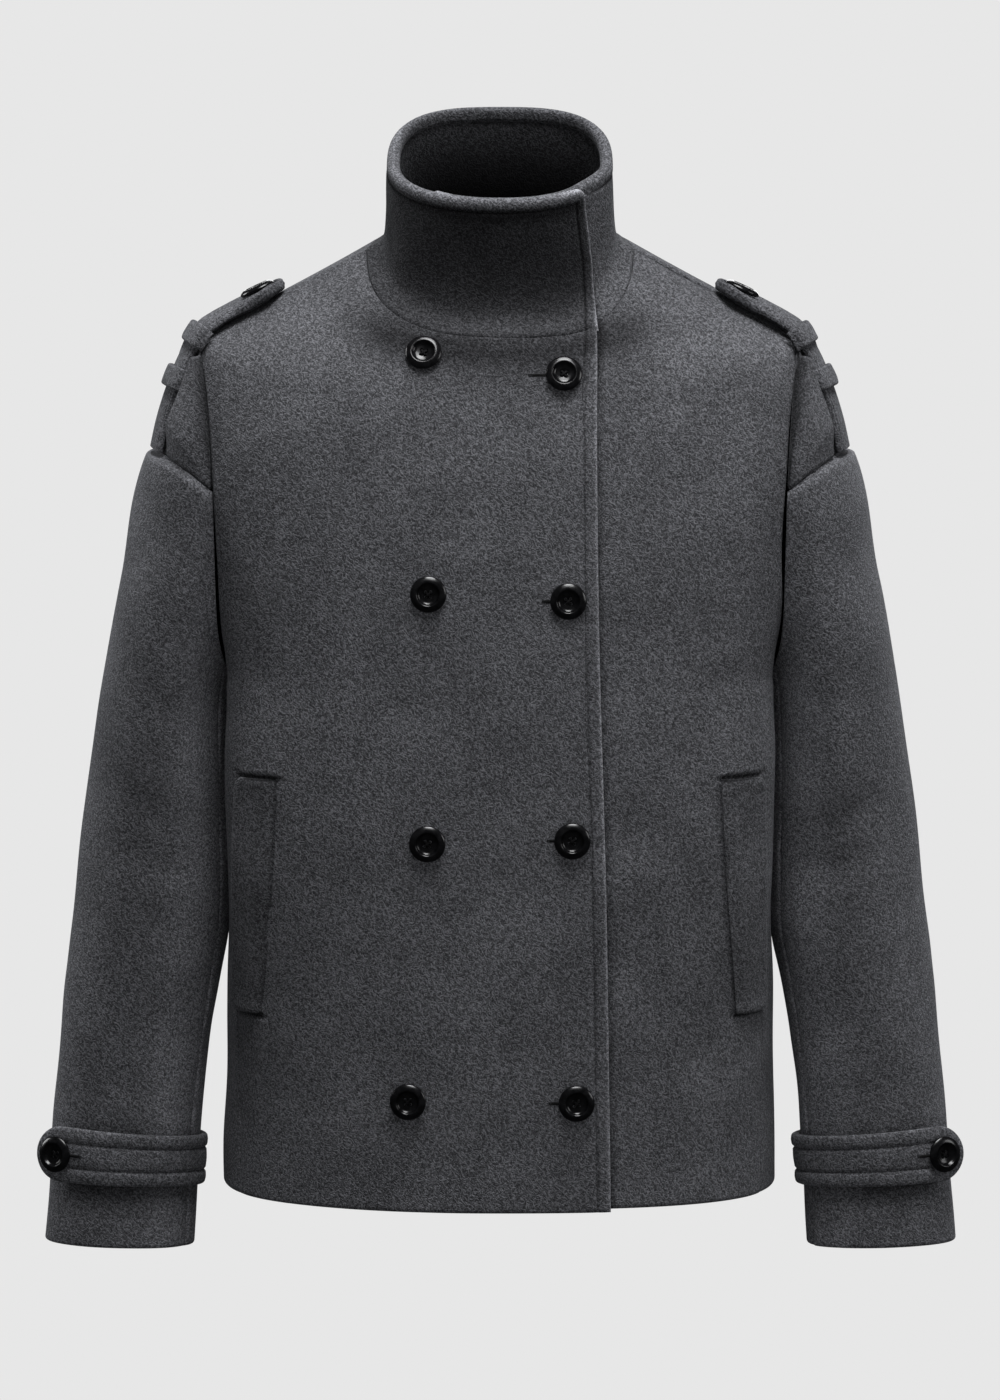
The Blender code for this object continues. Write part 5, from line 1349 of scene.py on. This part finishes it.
def buttonholeMesh(name, surface, centre, heading, out, length, slitName):
    # worked edge: a ribbed ring round a slit, laid on the cloth; the slit is a thin dark lens, painted shadow where
    # the opening is
    f = holeForm
    half, wide = length / 2, f["ring"] / 2
    across = unit(np.cross(out, heading))
    s = np.linspace(0, 2 * np.pi, f["ribs"] * 4, endpoint=False)
    x = np.clip(np.cos(s) * (half + wide), -half, half)
    x = x + np.cos(s) * wide * (np.abs(np.cos(s)) * (half + wide) > half)
    y = signedPower(np.sin(s), f["square"]) * (wide + f["apart"])
    v = np.linspace(0, 2 * np.pi, 6, endpoint=False)
    rib = (1 + f["ribHigh"] * np.sign(np.sin(s * f["ribs"])))[:, None, None]
    base = surface(centre + x[:, None] * heading + y[:, None] * across, out)
    radial = unit(np.stack([x * f["endLean"], y], axis=-1))
    sideways = radial[:, :1] * heading + radial[:, 1:] * across
    ring = (base[:, None] + sideways[:, None] * (np.cos(v) * wide)[None, :, None] * rib
            + out * (np.sin(v) * f["high"])[None, :, None] * rib + out * f["lift"])
    index = np.arange(ring[..., 0].size).reshape(ring.shape[:2])
    worked = closedPiece(name, ring.reshape(-1, 3), ringQuads(np.concatenate([index, index[:1]])))
    u = np.linspace(-1, 1, 21)[:, None]
    w = np.linspace(0, 2 * np.pi, 8, endpoint=False)[None, :]
    fat = np.sqrt(np.maximum(1 - u**2, 0.01))
    line = surface(centre + (u * (half - f["slitShort"])) * heading, out)
    lens = (line[:, None] + (fat * np.cos(w))[..., None] * across * f["slit"]
            + (fat * np.sin(w))[..., None] * out * f["slitHigh"] + out * f["slitLift"])
    index = np.arange(lens[..., 0].size).reshape(lens.shape[:2])
    return worked, closedPiece(slitName, lens.reshape(-1, 3), tubeFaces(index))


def surfaceOf(made):
    # puts points on a made piece, straight along a direction
    tree = BVHTree.FromPolygons([v.co[:] for v in made.data.vertices], [p.vertices[:] for p in made.data.polygons])

    def drop(points, out):
        placed = []
        for point in np.atleast_2d(points):
            hit = tree.ray_cast(Vector(point + out * 0.02), Vector(-out), 0.05)[0]
            placed.append(hit[:] if hit else tuple(point))
        return np.array(placed)
    return drop


meltonLook = {
    "dark": (0.0265, 0.0267, 0.0286), "light": (0.1620, 0.1635, 0.1766),
    # light fibres: turn of their bands, scale, twist, scale of the twist
    "fibres": (((0.3, 0.9, 0.2), 124.0, 7.0, 2.1), ((1.1, -0.4, 1.9), 142.0, 8.0, 1.9),
               ((-0.7, 0.5, 2.9), 108.0, 7.5, 2.4)),
    "fibreShift": 0.37, "thin": 3.4, "patches": 420.0, "patchRange": (0.44, 0.62),
    "loose": {"Scale": 820.0, "Detail": 0.6, "Distortion": 1.0}, "looseRange": (0.36, 0.66), "looseShare": 0.42,
    "broad": {"Scale": 26.0, "Detail": 2.0}, "broadRange": (0.3, 0.7), "broadTone": (0.90, 1.10),
    "rough": (0.98, 0.82), "bump": {"Strength": 0.8, "Distance": 0.00050},
    "surface": {"Sheen Weight": 0.10, "Sheen Roughness": 0.45, "Sheen Tint": (0.85, 0.87, 0.92, 1),
                "Specular IOR Level": 0.05},
}

threadStuff = {
    "twist": {"Scale": 1900.0, "Detail": 1.0, "Distortion": 0.6}, "twistRange": (0.32, 0.68), "tones": (0.6, 1.5),
    "bump": {"Strength": 0.7, "Distance": 0.0002}, "surface": {"Sheen Weight": 0.02, "Specular IOR Level": 0.12},
}

plasticLook = {
    "cloud": {"Scale": 260.0, "Detail": 3.0}, "cloudRange": (0.3, 0.7), "scratch": {"Scale": 2600.0, "Detail": 2.0},
    "tones": ((0.0020, 0.0020, 0.0023), (0.0050, 0.0050, 0.0056)), "rough": (0.17, 0.24),
    "bump": {"Strength": 0.12, "Distance": 0.0001},
    "surface": {"IOR": 1.49, "Specular IOR Level": 0.28, "Coat Weight": 0.10, "Coat Roughness": 0.10},
}


class NodeSheet:
    # small helper for wiring a material's nodes
    def __init__(self, name):
        self.material = bpy.data.materials.new(name)
        self.material.use_nodes = True
        self.nodes, self.links = self.material.node_tree.nodes, self.material.node_tree.links
        self.shader = self.nodes["Principled BSDF"]
        self.where = self.add("TexCoord").outputs["Object"]

    def put(self, node, inputs):
        for key, value in inputs.items():
            if isinstance(value, bpy.types.NodeSocket):
                self.links.new(value, node.inputs[key])
            else:
                node.inputs[key].default_value = value

    def add(self, kind, inputs=None, **settings):
        node = self.nodes.new("ShaderNode" + kind)
        for key, value in settings.items():
            setattr(node, key, value)
        self.put(node, inputs or {})
        return node

    def maths(self, operation, a, b):
        return self.add("Math", {0: a, 1: b}, operation=operation).outputs[0]

    def mix(self, share, a, b, kind="MIX"):
        a, b = ((*value, 1) if isinstance(value, tuple) else value for value in (a, b))
        return self.add("Mix", {0: share, 6: a, 7: b}, data_type="RGBA", blend_type=kind).outputs[2]

    def between(self, value, low, high, toLow=0.0, toHigh=1.0, kind="SMOOTHSTEP"):
        inputs = {0: value, 1: low, 2: high, 3: toLow, 4: toHigh}
        return self.add("MapRange", inputs, interpolation_type=kind).outputs[0]

    def noise(self, settings, at=None):
        return self.add("TexNoise", {"Vector": at or self.where, **settings}).outputs[0]

    def finish(self, look, colour, roughness, height):
        bumped = self.add("Bump", {"Height": height, **look["bump"]}).outputs[0]
        self.put(self.shader, {"Base Color": colour, "Roughness": roughness, "Normal": bumped, **look["surface"]})
        return self.material


def meltonMaterial():
    # twisted bands in three headings, each seen in patches only, give short light fibres over a dark ground
    look = meltonLook
    s = NodeSheet("meltonCloth")
    nap = None
    for number, (turn, scale, twist, twistScale) in enumerate(look["fibres"]):
        turned = s.add("Mapping", {"Vector": s.where, "Rotation": turn,
                                   "Location": (number * look["fibreShift"],) * 3}).outputs[0]
        band = s.add("TexWave", {"Vector": turned, "Scale": scale, "Distortion": twist, "Detail": 0.0,
                                 "Detail Scale": twistScale}).outputs["Fac"]
        patch = s.noise({"Scale": look["patches"], "Detail": 0.0}, turned)
        fibre = s.maths("MULTIPLY", s.maths("POWER", band, look["thin"]), s.between(patch, *look["patchRange"]))
        nap = fibre if nap is None else s.maths("MAXIMUM", nap, fibre)
    loose = s.between(s.noise(look["loose"]), *look["looseRange"], 0.0, 1.0, "LINEAR")
    nap = s.maths("ADD", s.maths("MULTIPLY", nap, 1 - look["looseShare"]),
                  s.maths("MULTIPLY", loose, look["looseShare"]))
    broad = s.mix(s.between(s.noise(look["broad"]), *look["broadRange"]), *((t,) * 3 for t in look["broadTone"]))
    colour = s.mix(1.0, s.mix(nap, look["dark"], look["light"]), broad, "MULTIPLY")
    # painted shade and highlight: the pieces' "shade" attribute darkens the colour above 0 and lightens it below 0
    shade = s.add("Attribute", attribute_name="shade").outputs["Fac"]
    colour = s.mix(1.0, colour, s.maths("SUBTRACT", 1.0, shade), "MULTIPLY")
    return s.finish(look, colour, s.between(nap, 0, 1, *look["rough"], "LINEAR"), nap)


def threadMaterial(name, colour, rough=0.75):
    # noise stands for the thread's twist, in its colour and its height
    look = threadStuff
    s = NodeSheet(name)
    twist = s.noise(look["twist"])
    tones = (tuple(c * tone for c in colour) for tone in look["tones"])
    return s.finish(look, s.mix(s.between(twist, *look["twistRange"]), *tones), rough, twist)


def buttonMaterial():
    # clouds change the plastic's colour and gloss a little, and fine noise its height
    look = plasticLook
    s = NodeSheet("blackPlastic")
    cloud = s.noise(look["cloud"])
    return s.finish(look, s.mix(s.between(cloud, *look["cloudRange"]), *look["tones"]),
                    s.between(cloud, *look["cloudRange"], *look["rough"]), s.noise(look["scratch"]))


stageLook = {"floorZ": -0.86, "radius": 30.0, "tone": 0.7991, "bend": 6.0, "high": 30.0, "flat": [0.01, 5.0, 15.0]}


def makeStage():
    # pale floor that curves up into a wall all round
    f = stageLook
    turn = np.linspace(0, 2 * np.pi, 96, endpoint=False)
    bend = np.linspace(-np.pi / 2, 0, 14)
    r = np.concatenate([f["flat"], f["radius"] - f["bend"] + f["bend"] * np.cos(bend), [f["radius"]]])
    z = np.concatenate([[0, 0, 0], f["bend"] + f["bend"] * np.sin(bend), [f["high"]]]) + f["floorZ"]
    points = np.stack([r[:, None] * np.cos(turn), r[:, None] * np.sin(turn), z[:, None] + 0 * turn], axis=-1)
    index = np.arange(points[..., 0].size).reshape(points.shape[:2])
    mesh = newMesh("paleStage", points.reshape(-1, 3),
                   ringQuads(index).tolist() + [index[0].tolist(), index[-1][::-1].tolist()])
    material = bpy.data.materials.new("palePaper")
    material.use_nodes = True
    nodes = material.node_tree.nodes
    nodes.clear()
    glow = nodes.new("ShaderNodeEmission")
    glow.inputs[0].default_value = (f["tone"],) * 3 + (1,)
    material.node_tree.links.new(glow.outputs[0], nodes.new("ShaderNodeOutputMaterial").inputs[0])
    mesh.materials.append(material)
    stage = show(bpy.data.objects.new("paleStage", mesh))
    # seen by the camera alone, so the paper neither lights nor shades the cloth
    stage.visible_diffuse = stage.visible_glossy = stage.visible_shadow = stage.visible_transmission = False
    stage.visible_volume_scatter = False


lightLook = {
    "sky": 0.05, "ground": 0.02, "skyRange": (-0.6, 0.8), "skyColour": (0.97, 0.985, 1.0, 1),
    "lampColour": (0.985, 0.99, 1.0), "aim": (0, 0, -0.30),
    # place, size and power of each soft lamp, all aimed at one point
    "lamps": {
        "overheadFront": ((0.4, -1.6, 4.2), 2.6, 190.0),
        "overheadTop": ((0.3, -0.2, 4.4), 2.6, 205.0),
        "lowFill": ((0.3, -4.4, -1.0), 5.0, 54.0),
        "leftFill": ((-2.0, -4.2, 0.8), 2.6, 14.0),
        "rightLight": ((3.6, -0.8, 0.8), 1.8, 34.0),
        "leftEdge": ((-3.2, 1.4, 0.8), 1.8, 56.0),
        "backLight": ((0.4, 4.2, 0.6), 2.4, 40.0),
        "topShine": ((0.2, -2.4, 4.0), 3.4, 34.0),
    },
}


def makeLights():
    look = lightLook
    world = bpy.data.worlds.new("softRoom")
    bpy.context.scene.world = world
    world.use_nodes = True
    nodes, links = world.node_tree.nodes, world.node_tree.links
    split = nodes.new("ShaderNodeSeparateXYZ")
    links.new(nodes.new("ShaderNodeTexCoord").outputs["Generated"], split.inputs[0])
    grade = nodes.new("ShaderNodeMapRange")
    grade.interpolation_type = "SMOOTHSTEP"
    links.new(split.outputs[2], grade.inputs[0])
    for socket, value in enumerate((*look["skyRange"], look["ground"], look["sky"]), 1):
        grade.inputs[socket].default_value = value
    links.new(grade.outputs[0], nodes["Background"].inputs["Strength"])
    nodes["Background"].inputs["Color"].default_value = look["skyColour"]
    for name, (place, size, power) in look["lamps"].items():
        data = bpy.data.lights.new(name, "AREA")
        data.shape, data.size, data.energy, data.color = "DISK", size, power, look["lampColour"]
        lamp = show(bpy.data.objects.new(name, data))
        lamp.location = place
        lamp.rotation_euler = (Vector(look["aim"]) - Vector(place)).to_track_quat("-Z", "Y").to_euler()
        lamp.visible_glossy = not name.endswith("Fill")      # a fill lamp doesn't show in the buttons
        lamp.visible_diffuse = not name.endswith("Shine")    # and the shine shows in nothing else
    bpy.context.scene.view_settings.view_transform = "Standard"


def main():
    makeCamera()
    makeStage()
    makeLights()
    melton = meltonMaterial()
    seamThread = threadMaterial("sewingThread", (0.020, 0.020, 0.022))
    holeThread = threadMaterial("buttonholeSilk", (0.010, 0.010, 0.011), 0.8)
    darkThread = threadMaterial("buttonThread", (0.004, 0.004, 0.0045), 0.7)
    paintedSlitShadow = threadMaterial("slitShade", (0.004, 0.004, 0.004), 0.9)
    plastic = buttonMaterial()
    made = {}

    def keep(piece, finish, *nodes, slotName="melton"):
        finishPiece(piece, finish, nodes)
        made[piece.name] = piece

    def keepStitches(name, lines, side=1):
        keep(stitchMesh(name, [stitchRow(*line) for line in lines], side), seamThread)

    sides = (("Right", -1, "right"), ("Left", 1, "left"))
    for word, side, node in sides:
        piece, line = makeFront("clothFront" + word, side, side < 0)
        keep(piece, melton, "front_" + node)
        if side < 0:
            keepStitches("stitchFront", [line], side)
    frontSurface = surfaceOf(made["clothFrontRight"])
    print("fronts made")
    keep(makeBack(), melton, "back")
    piece, lines = makeCollar()
    keep(piece, melton, "collar")
    keepStitches("stitchCollar", lines)
    print("back and collar made")
    for word, side, node in sides:
        keep(makePanel("clothPanel" + word, side), melton, "shoulder_panel_" + node)
        keep(makeSleeve("clothTopSleeve" + word, side, sleeveLook["topAngles"], 72, 61 + side),
             melton, "top_sleeve_" + node)
        keep(makeSleeve("clothUnderSleeve" + word, side, sleeveLook["underAngles"], 26, 71 + side),
             melton, "under_sleeve_" + node)
    print("shoulder panels and sleeves made")
    for word, side, node in sides:
        piece, line = makeShoulderStrap("clothStrap" + word, side)
        keep(piece, melton, "shoulder_strap_" + node)
        keepStitches("stitchStrap" + word, [line], side)
        for number, share in enumerate(strapForm["loopShares"], 1):
            keep(makeStrapLoop(f"clothLoop{word}{number}", side, share), melton, f"strap_loop_{node}_{number}")
        piece, lines = makeCuffStrap("clothCuffStrap" + word, side)
        keep(piece, melton, "cuff_strap_" + node)
        keepStitches("stitchCuff" + word, lines, side)
        keep(makeWelt("clothWelt" + word, side, side < 0), melton, "pocket_welt_" + node)
    print("straps, loops and welts made")
    buttons = [f"button_front_{n}" for n in range(1, 9)]
    buttons += [f"button_{place}_{node}" for place in ("shoulder", "cuff") for node in ("right", "left")]
    for number, name in enumerate(buttons):
        button, thread = makeButton(name, (number * 37) % 24 - 12)
        keep(button, plastic, name, slotName="button")
        keep(thread, darkThread)
    print("buttons made")
    inner = buttonForm["radius"] - holeForm["inner"]
    for number, (name, reach) in enumerate(holeForm["reach"].items(), 1):
        seat, axis = buttonAxes(name)
        heading = unit(np.cross(axis, (0.0, 0, 1)))
        heading = heading * -np.sign(heading[0])
        word, surface = str(number), frontSurface
        if "cuff" in name:
            word = "Right" if seat[0] < 0 else "Left"
            heading, surface = heading * np.sign(seat[0]), surfaceOf(made["clothCuffStrap" + word])
        ring, slit = buttonholeMesh(f"buttonhole{word}", surface, seat + heading * (reach + inner) / 2, heading, axis,
                                    reach - inner, f"buttonholeSlit{word}")
        keep(ring, holeThread)
        keep(slit, paintedSlitShadow)
    print("buttonholes made")


main()
